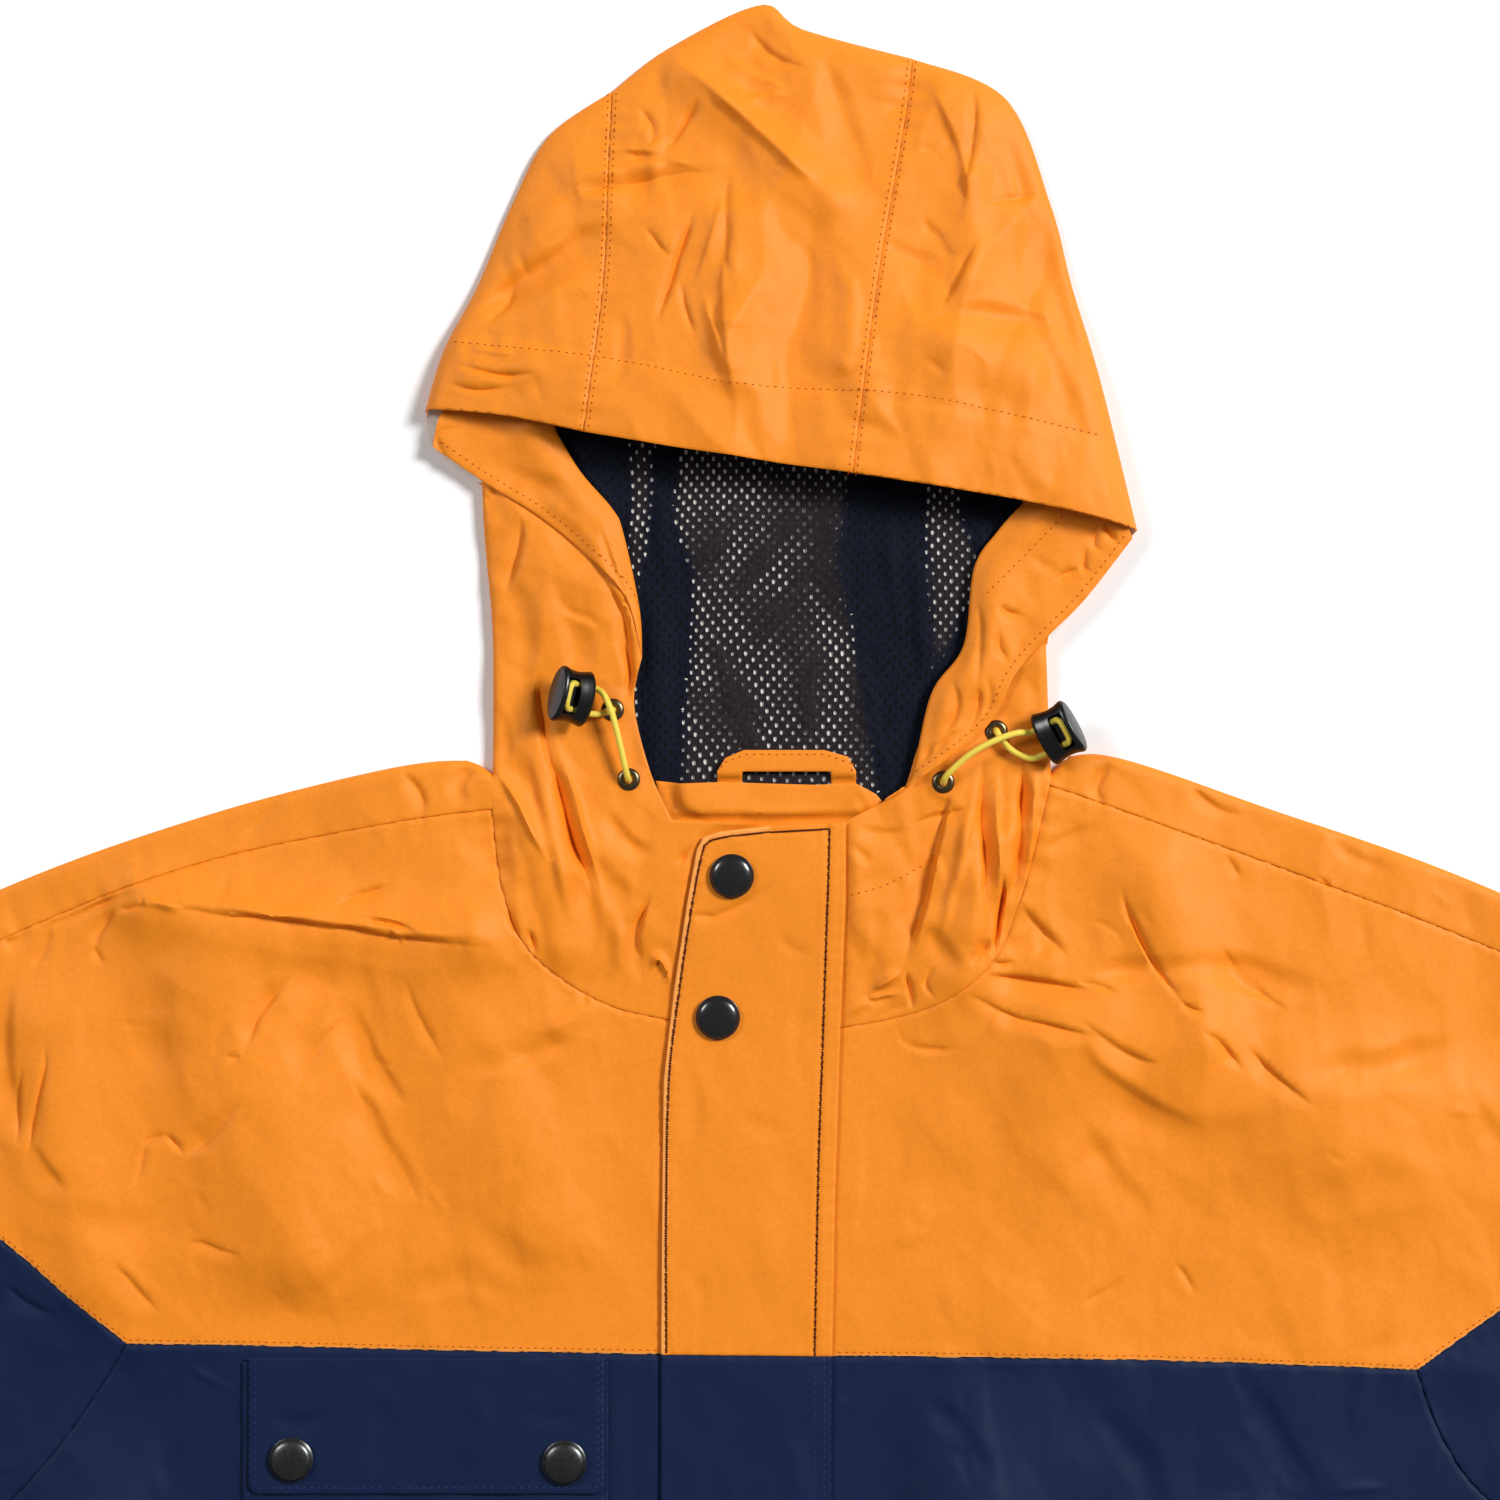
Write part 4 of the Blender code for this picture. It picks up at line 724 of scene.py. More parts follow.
# scattered fine creases: box x0, x1, y0, y1; count, lengths, widths, heights, heading, its spread
FRONT_SCATTER = (
    ((-300, 290, 10, 210), 34, (8, 22), (1.2, 2.6), (0.15, 0.45), 110, 45),
    ((-770, -300, -200, 120), 60, (25, 80), (4, 11), (0.8, 2.0), 66, 24),
    ((300, 770, -200, 110), 60, (25, 80), (4, 11), (0.8, 2.0), 114, 24),
    ((-300, 300, -500, -60), 60, (30, 120), (5, 14), (0.7, 2.0), 95, 28),
    ((-300, 300, -500, 0), 60, (10, 30), (1.5, 4), (0.3, 0.8), 80, 50),
)
CROWN_SCATTER = ((-110, 125, 330, 500), 26, (8, 20), (1.4, 3), (0.2, 0.5), 95, 50)


def folds(table, xy):
    """The largest folds: soft ridges from end to end."""
    total = np.zeros(len(xy))
    for x0, y0, x1, y1, half_width, height in table:
        total += height * np.exp(-((away_from(xy, [(x0, y0), (x1, y1)]) / half_width) ** 2))
    return total


def creases(table, xy):
    """Ridges and troughs with their own width on each side, running out at both ends."""
    total = np.zeros(len(xy))
    for row in table:
        left, right, height, crest = row[6:]
        line = crease_line(row)
        reach = SPREAD + (SPREAD_SHARE + SPREAD_WIDE) * max(left, right)
        low, high = line.min(axis=0) - reach, line.max(axis=0) + reach
        near = np.flatnonzero(np.all((xy > low) & (xy < high), axis=1))
        if not len(near):
            continue
        away, side, place = along(xy[near], line)
        share = place / float(np.hypot(*np.diff(line, axis=0).T).sum())
        _, strengths = crease_knots(row)
        ends = smoothstep(share, 0, TAPER) * smoothstep(1 - share, 0, TAPER)
        ends *= np.interp(share, np.linspace(0, 1, len(strengths)), strengths)
        width = np.where(side > 0, left, right)
        width = SPREAD + SPREAD_SHARE * width + SPREAD_WIDE * np.maximum(width - 3, 0)
        width *= 0.6 + 0.4 * ends
        u = np.clip((np.sqrt(away ** 2 + CREST ** 2) - CREST) / width, 0, 1)
        profile = (1 - crest) * (1 - u) ** 1.1 + crest * (1 - smoothstep(u, 0, 1))
        total[near] += height * profile * ends
        if crest < SHARP and height < 0:
            total[near] -= PRESSED * np.exp(-(away / PRESSED_WIDE) ** 2) * np.sqrt(ends)
    return total


def crease_length(row):
    return math.dist(row[:2], row[2:4]) + math.dist(row[2:4], row[4:6])


def crease_knots(row):
    """How far a crease strays aside and how strong it is at its knots, drawn from its own place."""
    length = crease_length(row)
    draw = np.random.default_rng(round(abs(row[0]) * 10) + 10000 * round(abs(row[1]) * 10))
    count = max(4, round(length / KINK_STEP))
    strays = draw.uniform(-KINK, KINK, count) * min(1, length / 30)
    strays[[0, -1]] = 0
    return strays, draw.uniform(0.5, 1.15, count)


def crease_line(row, count=25):
    """The points of a crease, on a slightly kinked curve through its three places."""
    start, middle, end = (np.array(row[k:k + 2], float) for k in (0, 2, 4))
    t = np.linspace(0, 1, count)[:, None]
    line = (1 - t) ** 2 * start + 2 * t * (1 - t) * (2 * middle - (start + end) / 2) + t ** 2 * end
    strays, _ = crease_knots(row)
    aside = np.interp(t[:, 0], np.linspace(0, 1, len(strays)), strays)
    return line + leftwards(line) * aside[:, None]


def leftwards(line):
    """At each point of a line, the step of 1 mm to the left of its run."""
    run = np.gradient(line, axis=0)
    run /= np.hypot(*run.T)[:, None]
    return np.stack((-run[:, 1], run[:, 0]), axis=1)


def offset_line(line, aside, near=2.0):
    """A line moved sideways; to the left of its run if aside is above 0."""
    line = np.array(curve_through([tuple(p) for p in line], near) if len(line) < 3 else line, float)
    return line + leftwards(line) * aside


def crease_guides(table):
    """Rows of points along the sharp creases, so that the mesh follows them."""
    rows = []
    for row in table:
        if row[9] <= SHARP:
            line = crease_line(row, max(3, round(crease_length(row) / GUIDE_STEP)))
            rows += [offset_line(line, GUIDE_ASIDE * step) for step in (0, 1, -1, 2, -2)]
    return rows


def scattered(seed, box, count, lengths, widths, heights, heading, spread):
    """Rows for fine creases scattered over a box, mostly at one heading, in degrees."""
    draw = np.random.default_rng(seed)
    rows = []
    for _ in range(count):
        x, y = draw.uniform(box[0], box[1]), draw.uniform(box[2], box[3])
        turn = math.radians(heading + draw.normal(0, spread))
        half = draw.uniform(*lengths) / 2
        bow = draw.normal(0, 0.12) * half
        step = np.array((math.cos(turn), math.sin(turn))) * half
        side = np.array((-step[1], step[0])) / half * bow
        width, height = draw.uniform(*widths), draw.uniform(*heights) * draw.choice((-1, 1))
        rows.append((x - step[0], y - step[1], x + side[0], y + side[1], x + step[0], y + step[1],
                     width, width * draw.uniform(1.0, 2.2), height, draw.uniform(0.1, 0.8)))
    return rows


def drift(xy, size, seed):
    """Slow unevenness between about -1 and 1, over a given size."""
    draw = np.random.default_rng(seed)
    total = np.zeros(len(xy))
    for _ in range(7):
        turn, shift = draw.uniform(0, 2 * math.pi, 2)
        wave = size * draw.uniform(0.7, 1.8)
        total += np.sin((xy @ (math.cos(turn), math.sin(turn))) * 2 * math.pi / wave + shift)
    return total / 3.5


FACET_FIELDS = {}
LARGE_FACETS = 20     # facets over this size cover the whole jacket, smaller ones what the camera sees
JACKET_BOX = (-800, 800, -530, 530)


def facets(xy, size, seed, heading, stretch):
    """Flat facets that meet at sharp folds, as crumpled stiff cloth has; about -1 to 1 high."""
    turn = math.radians(heading)
    grid = np.array(((math.cos(turn) / stretch, -math.sin(turn)),
                     (math.sin(turn) / stretch, math.cos(turn))))
    key = (size, seed, heading, stretch)
    if key not in FACET_FIELDS:
        draw = np.random.default_rng(seed)
        box = JACKET_BOX if size > LARGE_FACETS else VIEW
        corners = np.array([(x, y) for x in box[:2] for y in box[2:]]) @ grid
        low, high = corners.min(axis=0) - 2 * size, corners.max(axis=0) + 2 * size
        gx, gy = np.meshgrid(np.arange(low[0], high[0], size), np.arange(low[1], high[1], size))
        places = np.stack((gx.ravel(), gy.ravel()), axis=1) + draw.uniform(-0.45, 0.45, (gx.size, 2)) * size
        _, _, faces, *_ = delaunay_2d_cdt([Vector(p) for p in places], [], [], 0, 1e-4)
        heights = np.clip(draw.normal(0, 0.6, len(places)), -1.2, 1.2)
        FACET_FIELDS[key] = BVHTree.FromPolygons(np.column_stack((places, heights)).tolist(),
                                                 [tuple(face) for face in faces])
    field = FACET_FIELDS[key]
    down = Vector((0, 0, -1))
    bend = np.stack([drift(xy, 1.6 * size, seed + k) for k in (0, 100)], axis=1)
    hits = [field.ray_cast((x, y, 9), down)[0] for x, y in (xy + 0.16 * size * bend) @ grid]
    return np.array([hit.z if hit else 0.0 for hit in hits])


def swayed(xy, where):
    return sum(height * drift(xy, *wave) for height, *wave in SWAY[where])


def crumpled(xy, where):
    return sum(height * facets(xy, *field) for height, *field in CRUMPLE[where])


def puckers(xy, line, height, pitch, reach):
    """Small ripples across a stitched line, uneven along it."""
    away, _, place = along(xy, line)
    near = np.exp(-away / reach)
    wave = np.sin(place * 2 * math.pi / pitch + 2.0 * np.sin(place / (pitch * 1.9)))
    return height * near * wave * (0.55 + 0.45 * np.sin(place / (pitch * 2.7) + 1.0))


def puckered(xy, *seams):
    """The ripples along named seams on both of the wearer's sides."""
    return sum(puckers(xy, line_of(f"{seam}_{wearer}"), *PUCKERS[seam])
               for seam in seams for wearer in WEARERS)


def flat_zone(xy):
    """0 where a flap, the pocket or a drawcord lies on the front, 1 well clear of them."""
    x, y = xy[:, 0], xy[:, 1]
    off_pocket = [smoothstep(abs(c - centre), *reach) for c, (centre, *reach) in zip((x, y), POCKET_FLAT)]
    off_cord = [smoothstep(np.hypot(x - cx, y - cy), *reach) for cx, cy, *reach in CORD_FLAT]
    off_cord = np.maximum(off_cord[0] * off_cord[1], smoothstep(CORD_FLAT_FOOT - y, 0, 20))
    return smoothstep(abs(x), *FLAP_FLAT) * np.maximum(*off_pocket) * off_cord


def front_low(xy):
    """Underside of the front layer, as in the CAD."""
    x, y = xy[:, 0], xy[:, 1]
    neck = smoothstep(y, *NECK_RAMP) * (1 - smoothstep(abs(x), 112, 190))
    return FRONT_BASE + NECK_LIFT * neck + folds(FRONT_FOLDS, xy) * flat_zone(xy)


def beyond(xy, *outlines):
    """How far outside the outlines a point lies, 0 in them."""
    away = [np.where(inside(xy, edge), 0, away_from(xy, edge + edge[:1])) for edge in outlines]
    return np.min(away, axis=0)


def crease_room(xy):
    """How freely the front layer may crease: not under a flap, the pocket, an eyelet or a lock."""
    x, y = xy[:, 0], xy[:, 1]
    room = smoothstep(beyond(xy, FLAP_UPPER, FLAP_LOWER), 0.3, 4.5)
    wide = (POCKET["right"] - POCKET["left"]) / 2
    centre = (POCKET["right"] + POCKET["left"]) / 2
    room *= np.maximum(smoothstep(abs(x - centre), wide, wide + 5), smoothstep(y, 7, 13))
    for ex, ey in EYELETS.values():
        room *= smoothstep(np.hypot(x - ex, y - ey), 4.0, 7.5)
    for lock in LOCKS.values():
        lx, ly, _ = lock["middle"]
        room *= 0.35 + 0.65 * smoothstep(np.hypot(x - lx, y - ly), 9, 17)
    return room


def front_cloth(xy):
    """Outer face of the front layer with its creases."""
    cloth = bpy.context.scene.jacket_cloth
    x, y = xy[:, 0], xy[:, 1]
    rows = list(FRONT_CREASES)
    for k, scatter in enumerate(FRONT_SCATTER):
        rows += scattered(cloth.seed + k, *scatter)
    fine = creases(rows, xy) * cloth.crease_height
    fine *= 1 + 0.6 * smoothstep(y, 125, 160) * (1 - smoothstep(abs(x), 95, 120))
    fine += swayed(xy, "front")
    # the cloth is crumpled most round the neck, least in the middle of the chest
    neck = smoothstep(y, 125, 175) * (1 - smoothstep(abs(x), 95, 140))
    chest = (1 - neck) * smoothstep(y, 0, 14)
    for share, where in ((neck, "neck"), (chest, "chest"), (1 - neck - chest, "body")):
        fine += share * crumpled(xy, where)
    fine += puckered(xy, "neck_seam", "front_shoulder", "yoke", "slant")
    pressed = FLAP_PRESS * np.exp(-(beyond(xy, FLAP_UPPER, FLAP_LOWER) / FLAP_PRESS_REACH) ** 2)
    fine *= crease_room(xy)
    above = front_low(xy) + LEVEL + FRONT_PUFF * flat_zone(xy) - pressed + fine - FRONT_LEAST
    eased = SOFT_STOP * np.exp(np.minimum(above / SOFT_STOP - 1, 0))
    z = FRONT_LEAST + np.where(above > SOFT_STOP, above, eased)
    # it keeps under the turned-out facings
    for wearer, behind in BEHIND.items():
        away = beyond(xy, line_of(f"facing_edge_{wearer}") + line_of(f"-roll_{wearer}") + behind)
        near = away < 8
        if near.any():
            z[near] = np.minimum(z[near], facing_cloth(xy[near]) - UNDER + 0.6 * away[near])
    return z


def crown_cloth(xy):
    """Outer face of the top of the hood with its creases, seams and brim channel."""
    cloth = bpy.context.scene.jacket_cloth
    away = away_from(xy, line_of("-crown_right") + line_of("apex") + line_of("crown_left"))
    low = CROWN_EDGE + CROWN_TIP_LIFT * smoothstep(430 - xy[:, 1], 0, 70)
    low += CROWN_DOME * (1 - np.exp(-away / CROWN_ROUND))
    low += folds(CROWN_FOLDS, xy) * smoothstep(away, 2, 16)
    rows = CROWN_CREASES + scattered(cloth.seed + 6, *CROWN_SCATTER)
    fine = creases(rows, xy) * 1.3 * cloth.crease_height + swayed(xy, "crown") + crumpled(xy, "crown")
    fine += puckered(xy, "hood_seam") + puckers(xy, line_of("channel"), *CHANNEL_PUCKERS)
    fine *= smoothstep(away, 0, 10)
    brim = away_from(xy, line_of("brim_right") + line_of("brim_centre") + line_of("brim_left"))
    channel = 0.5 * smoothstep(BRIM_CHANNEL + 1.5 - brim, 0, 1.8)
    groove = -0.45 * np.exp(-((brim - BRIM_CHANNEL) / 1.2) ** 2)
    fine += (channel + groove + 0.25 * np.sin(brim / 5.0) * np.exp(-brim / 14)) * smoothstep(away, 0, 14)
    return low + LEVEL + fine


def facing_cloth(xy):
    """Outer face of a turned-out facing: its outer edge stands off the neck."""
    edge, roll = (np.minimum(*(away_from(xy, line_of(f"{name}_{wearer}")) for wearer in WEARERS))
                  for name in ("facing_edge", "roll"))
    low = FRONT_BASE + NECK_LIFT + LAYER + FACING_RISE * (1 - smoothstep(edge, 0, 12))
    fine = creases(FACING_CREASES, xy) * bpy.context.scene.jacket_cloth.crease_height
    fine += swayed(xy, "facing") + crumpled(xy, "facing") + puckered(xy, "facing_edge")
    stand = ROLL_STAND * np.exp(-((roll - 1.4 * ROLL_RADIUS) / ROLL_RADIUS) ** 2)
    return np.minimum(low + LEVEL + (fine + stand) * smoothstep(roll, 0, 5), crown_cloth(xy) - UNDER)


def clear_of_snaps(xy):
    """0 under a snap cap, 1 clear of it."""
    away = np.min([np.hypot(xy[:, 0] - x, xy[:, 1] - y) for x, y, _ in SNAPS.values()], axis=0)
    return smoothstep(away, SNAP_RADIUS - 1, SNAP_RADIUS + 3)


def flap_height(xy):
    """Outer face of the storm flap, one layer over the front."""
    fine = creases(FLAP_CREASES, xy) + swayed(xy, "flap")
    fine += puckers(xy, FLAP_UPPER + FLAP_UPPER[:1], *FLAP_PUCKERS)
    sewn = np.minimum(*(away_from(xy, line_of(f"flap_stitch_{wearer}")) for wearer in WEARERS))
    fine += 0.25 * np.exp(-((sewn - 1.5) / 0.9) ** 2) - 0.5 * np.exp(-(sewn / 0.7) ** 2)
    return front_low(xy) + LAYER + LEVEL + fine * clear_of_snaps(xy)


def pocket_height(xy):
    """Outer face of the chest pocket, one layer over the front."""
    return front_low(xy) + LAYER + LEVEL + swayed(xy, "pocket") + creases(POCKET_CREASES, xy)


def pocket_flap_height(xy):
    """Outer face of the pocket's flap, two layers over the front."""
    fine = swayed(xy, "pocket_flap") + creases(POCKET_CREASES, xy)
    return front_low(xy) + 2 * LAYER + LEVEL + fine * clear_of_snaps(xy)


def lining_height(xy):
    """Outer face of the mesh lining, flat under the neck band."""
    rise = swayed(xy, "lining") + crumpled(xy, "lining") + 0.8 * creases(LINING_FOLDS, xy)
    return MESH_TOP + np.clip(rise * smoothstep(xy[:, 1], 222, 234), *MESH_RANGE)


def band_fine(xy):
    """The creases of the neck band and the hang loop, none where the loop lies free."""
    fine = swayed(xy, "band") + 1.3 * creases(BAND_CREASES, xy) + crumpled(xy, "band")
    return fine * smoothstep(LOOP_FREE_Y - xy[:, 1], 0, 4)


def band_height(xy):
    """Outer face of the neck band: it falls away behind the collar's edge and at its two ends."""
    sunk = BAND_SINK * smoothstep(BAND_GAP_Y - xy[:, 1], 0, 1.6)
    for beyond_end in (BAND_ENDS[0] - xy[:, 0], xy[:, 0] - BAND_ENDS[1]):
        sunk += BAND_FALL * smoothstep(beyond_end, 0, 6)
    return np.maximum(BAND_TOP - sunk + band_fine(xy), BAND_LEAST)


def loop_height(xy):
    """Outer face of the hang loop: it dips behind the neck band."""
    dip = LOOP_DIP * smoothstep(LOOP_FREE_Y - xy[:, 1], 0, 2.5)
    return np.maximum(LOOP_TOP - dip + band_fine(xy), BAND_LEAST)


# ---- making the sheets ----
def only(thing):
    """Deselects everything and makes one object the only one selected and the active one."""
    bpy.ops.object.select_all(action="DESELECT")
    thing.select_set(True)
    bpy.context.view_layer.objects.active = thing


def modified(thing, kind, **settings):
    """Adds one modifier with its settings, and applies it."""
    modifier = thing.modifiers.new(kind.lower(), kind)
    for key, value in settings.items():
        setattr(modifier, key, value)
    only(thing)
    bpy.ops.object.modifier_apply(modifier=modifier.name)


def smooth(thing, degrees):
    only(thing)
    bpy.ops.object.shade_smooth_by_angle(angle=math.radians(degrees))


def dense(parts, tucked):
    """A closed outline from line names and loose points, and which of its points are tucked under."""
    cloth = bpy.context.scene.jacket_cloth
    near, far = cloth.near_step / MM, cloth.far_step / MM
    points, flags = [], []
    for part in parts:
        run, hidden = [part], False
        if isinstance(part, str):
            key = part.lstrip("-")
            hidden = key in tucked
            run = line_of(part, near if any(in_view(*p) for p in LINES[key]) else far)
        for point in run:
            if points and math.dist(point, points[-1]) < SAME:
                flags[-1] = flags[-1] and hidden
            else:
                points.append(tuple(point))
                flags.append(hidden)
    if math.dist(points[0], points[-1]) < SAME:
        points.pop()
        flags[0] = flags.pop() and flags[0]
    points, flags = filled(points, flags, near)
    return points, flags & np.roll(flags, 1) & np.roll(flags, -1)


def filled(points, flags, step):
    """The outline with its long straight stretches in view cut up."""
    new_points, new_flags = [], []
    for i, (a, flag) in enumerate(zip(points, flags)):
        j = (i + 1) % len(points)
        b = points[j]
        count = max(1, round(math.dist(a, b) / step)) if in_view(*a) or in_view(*b) else 1
        for k in range(count):
            new_points.append((a[0] + (b[0] - a[0]) * k / count, a[1] + (b[1] - a[1]) * k / count))
            new_flags.append(flag if k == 0 else flag and flags[j])
    return np.array(new_points), np.array(new_flags)


def outwards(points):
    """At each point of a closed outline, the step that moves its sides out by 1 mm."""
    turn = 1.0 if area_of(points) > 0 else -1.0
    into = points - np.roll(points, 1, axis=0)
    away = np.roll(into, -1, axis=0)
    first = np.stack((into[:, 1], -into[:, 0]), axis=1) * turn / np.hypot(*into.T)[:, None]
    second = np.stack((away[:, 1], -away[:, 0]), axis=1) * turn / np.hypot(*away.T)[:, None]
    return (first + second) / np.maximum(1 + (first * second).sum(axis=1), 0.6)[:, None]


def nearest(xy, points):
    """The distance from each place to the nearest of some points."""
    tree = KDTree(len(points))
    for i, (x, y) in enumerate(points):
        tree.insert((x, y, 0), i)
    tree.balance()
    return np.array([tree.find((x, y, 0))[2] for x, y in xy])


def spread_points(outline, rows, near, far):
    """Staggered points inside an outline: close together in view, wider apart elsewhere."""
    low, high = outline.min(axis=0), outline.max(axis=0)
    taken = np.vstack([outline] + rows)
    grids = []
    for step, close in ((near, True), (far, False)):
        gx, gy = np.meshgrid(np.arange(low[0], high[0], step),
                             np.arange(low[1], high[1], step * math.sqrt(3) / 2))
        gx[1::2] += step / 2
        grid = np.stack((gx.ravel(), gy.ravel()), axis=1)
        grid = grid[in_view(*grid.T) == close]
        grid = grid[inside(grid, outline)]
        if len(grid):
            grids.append(grid[nearest(grid, taken) > 0.62 * step])
    return np.vstack(grids)


def triangulated(outline, extra, holes=()):
    """Points and triangles that fill an outline, and which hole each triangle lies in, 0 for none."""
    points = [Vector(p) for p in outline] + [Vector(p) for p in extra]
    faces = [list(range(len(outline)))]
    for hole in holes:
        faces.append(list(range(len(points), len(points) + len(hole))))
        points += [Vector(p) for p in hole]
    placed, _, made, _, _, sources = delaunay_2d_cdt(points, [], faces, 1, 1e-4)
    xy = np.array([tuple(p) for p in placed])
    tri = np.array(made, int)
    where = np.array([max(s, default=0) for s in sources])
    a, b, c = xy[tri[:, 0]], xy[tri[:, 1]], xy[tri[:, 2]]
    size = (b[:, 0] - a[:, 0]) * (c[:, 1] - a[:, 1]) - (b[:, 1] - a[:, 1]) * (c[:, 0] - a[:, 0])
    tri[size < 0] = tri[size < 0][:, ::-1]
    whole = abs(size) > 1e-7
    used, tri = np.unique(tri[whole], return_inverse=True)
    return xy[used], tri.reshape(-1, 3), where[whole]


class Layer:
    """One layer of a piece: its outline, its height, and its folded, tucked and free edges."""

    def __init__(self, parts, height, folded=(), tucked=(), free=(), under=False):
        self.parts = parts
        self.height = height
        self.folded = folded
        self.tucked = tucked
        self.free = free
        self.under = under

    def build(self):
        """The layer's points and triangles; facing down if it is an underside."""
        cloth = bpy.context.scene.jacket_cloth
        near, far = cloth.near_step / MM, cloth.far_step / MM
        if self.under:
            near = far
        self.cut, flags = dense(self.parts, self.tucked)
        out = outwards(self.cut)
        outline = self.cut + out * (TUCK * flags)[:, None]
        rows = []
        for names, depths in ((self.folded, FOLD_ROWS), (self.free, RIM_ROWS)):
            lines = [self.edge(name) for name in names]
            if lines:
                close = np.min([away_from(outline, line) for line in lines], axis=0) < 0.3
                rows += [outline[close] - out[close] * depth for depth in depths[:2 if self.under else 9]]
        if not self.under:
            rows += crease_guides(GUIDED.get(self.height, ()))
        rows = [row[inside(row, outline)] for row in rows]
        xy, tri, _ = triangulated(outline, np.vstack(rows + [spread_points(outline, rows, near, far)]))
        return np.column_stack((xy, self.heights(xy, flags))), tri[:, ::-1] if self.under else tri

    def edge(self, name):
        if name == "all":
            return np.vstack((self.cut, self.cut[:1]))
        return line_of(name, 3.0)

    def heights(self, xy, flags):
        z = self.height(xy) * np.ones(len(xy))
        if flags.any() and not self.under:
            gap = nearest(xy, self.cut[flags])
            gap = np.where(inside(xy, self.cut), gap, -gap)
            z -= TUCK_DROP * (1 - smoothstep(gap, -0.2, TUCK_EASE))
        for name in self.free:
            z -= EDGE_DROP * rounding(away_from(xy, self.edge(name)), EDGE_ROUND)
        for name in self.folded:
            middle, radius = FOLDED_EDGES[name]
            away = away_from(xy, self.edge(name))
            near = away < radius
            z[near] += (middle(xy[near]) - z[near]) * rounding(away[near], radius)
        return z


def rounding(away, radius):
    """1 at a rounded edge, 0 a radius inside it, a quarter circle between."""
    u = np.clip(1 - away / radius, 0, 1)
    return 1 - np.sqrt(1 - u ** 2)


def halfway(cloth):
    """The level halfway between an outer face and the table."""
    return lambda xy: (cloth(xy) + FLOOR_GAP) / 2


def roll_middle(xy):
    return front_low(xy) + CLOTH / 2


# folded edge -> height of its line, and its radius, mm
FOLDED_EDGES = {"apex": (halfway(crown_cloth), 5.0)}
for side in WEARERS:
    FOLDED_EDGES[f"crown_{side}"] = (halfway(crown_cloth), 5.0)
    FOLDED_EDGES[f"roll_{side}"] = (roll_middle, ROLL_RADIUS)
    for edge_name in ("shoulder", "sleeve_top", "sleeve_under", "neck_side", "side"):
        FOLDED_EDGES[f"{edge_name}_{side}"] = (halfway(front_cloth), 3.4)

# the creases that give a face rows of points of its own
GUIDED = {front_cloth: FRONT_CREASES, crown_cloth: CROWN_CREASES, facing_cloth: FACING_CREASES,
          flap_height: FLAP_CREASES}


def floor_level(xy):
    return np.full(len(xy), FLOOR_GAP)


def new_object(name, points, faces, finishes):
    """A mesh object from points in metres."""
    mesh = bpy.data.meshes.new(name)
    mesh.from_pydata(points.tolist(), [], faces)
    for coat in finishes:
        mesh.materials.append(coat)
    made = bpy.data.objects.new(name, mesh)
    bpy.context.scene.collection.objects.link(made)
    return made


def grain_axes(grain):
    """Turns places in plan to lengths across and along the grain."""
    turn = math.radians(grain)
    return np.array(((math.cos(turn), -math.sin(turn)), (math.sin(turn), math.cos(turn))))


def sheet_object(name, points, tri, finishes, grain, edge_highlight=()):
    """A mesh object from points in mm; its UV map "weave" runs with the grain, in metres."""
    made = new_object(name, points * MM, tri.tolist(), finishes)
    mesh = made.data
    corner = np.empty(len(mesh.loops), np.int32)
    mesh.loops.foreach_get("vertex_index", corner)
    uv = (points[:, :2] @ grain_axes(grain))[corner] * MM
    mesh.uv_layers.new(name="weave").data.foreach_set("uv", uv.ravel())
    # 1 along an edge where a highlight is painted paler into the colour, 0 inside it
    highlit = np.zeros(len(points))
    for line, width in edge_highlight:
        highlit = np.maximum(highlit, 1 - smoothstep(away_from(points[:, :2], line), width * 0.6, width))
    mesh.attributes.new("painted_edge_highlight", "FLOAT", "POINT").data.foreach_set("value", highlit)
    return made


def cloth_piece(node, layers, finishes, grain=0.0, edge_highlight=()):
    points, faces, count = [], [], 0
    for layer in layers:
        xyz, tri = layer.build()
        points.append(xyz)
        faces.append(tri + count)
        count += len(xyz)
    made = sheet_object(f"{node}_cloth", np.vstack(points), np.vstack(faces), finishes, grain, edge_highlight)
    if len(layers) > 1:
        weld(made)
    shell(made, bpy.context.scene.jacket_cloth.wall, len(finishes) > 1)
    declare(made, node)


def weld(made):
    only(made)
    bpy.ops.object.mode_set(mode="EDIT")
    bpy.ops.mesh.select_all(action="SELECT")
    bpy.ops.mesh.remove_doubles(threshold=SAME * MM)
    bpy.ops.object.mode_set(mode="OBJECT")


def shell(made, wall, two_faced=False):
    """Gives the sheet its wall, inwards from its outer face."""
    modified(made, "SOLIDIFY", thickness=wall, offset=-1, material_offset=1 if two_faced else 0)
    smooth(made, 60)


def declare(made, node):
    """Attaches the piece to the root and hides the CAD part that it stands for."""
    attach(made, "root")
    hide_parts(node)


def rounded_foot(box):
    """A pocket's outline: square at the top, its two lower corners round."""
    left, right, top, foot, radius = (box[key] for key in ("left", "right", "top", "foot", "radius"))
    outline = [(left, top)]
    for cx, start in ((left + radius, 180), (right - radius, 270)):
        for step in range(7):
            turn = math.radians(start + 15 * step)
            outline.append((cx + radius * math.cos(turn), foot + radius + radius * math.sin(turn)))
    return outline + [(right, top)]


# ---- finishes ----
def add(tree, kind, inputs=None, **settings):
    """Adds a node with its settings, and gives its inputs their values or links."""
    node = tree.nodes.new(kind)
    for key, value in settings.items():
        setattr(node, key, value)
    for key, value in (inputs or {}).items():
        if isinstance(value, bpy.types.NodeSocket):
            tree.links.new(value, node.inputs[key])
        else:
            node.inputs[key].default_value = value
    return node


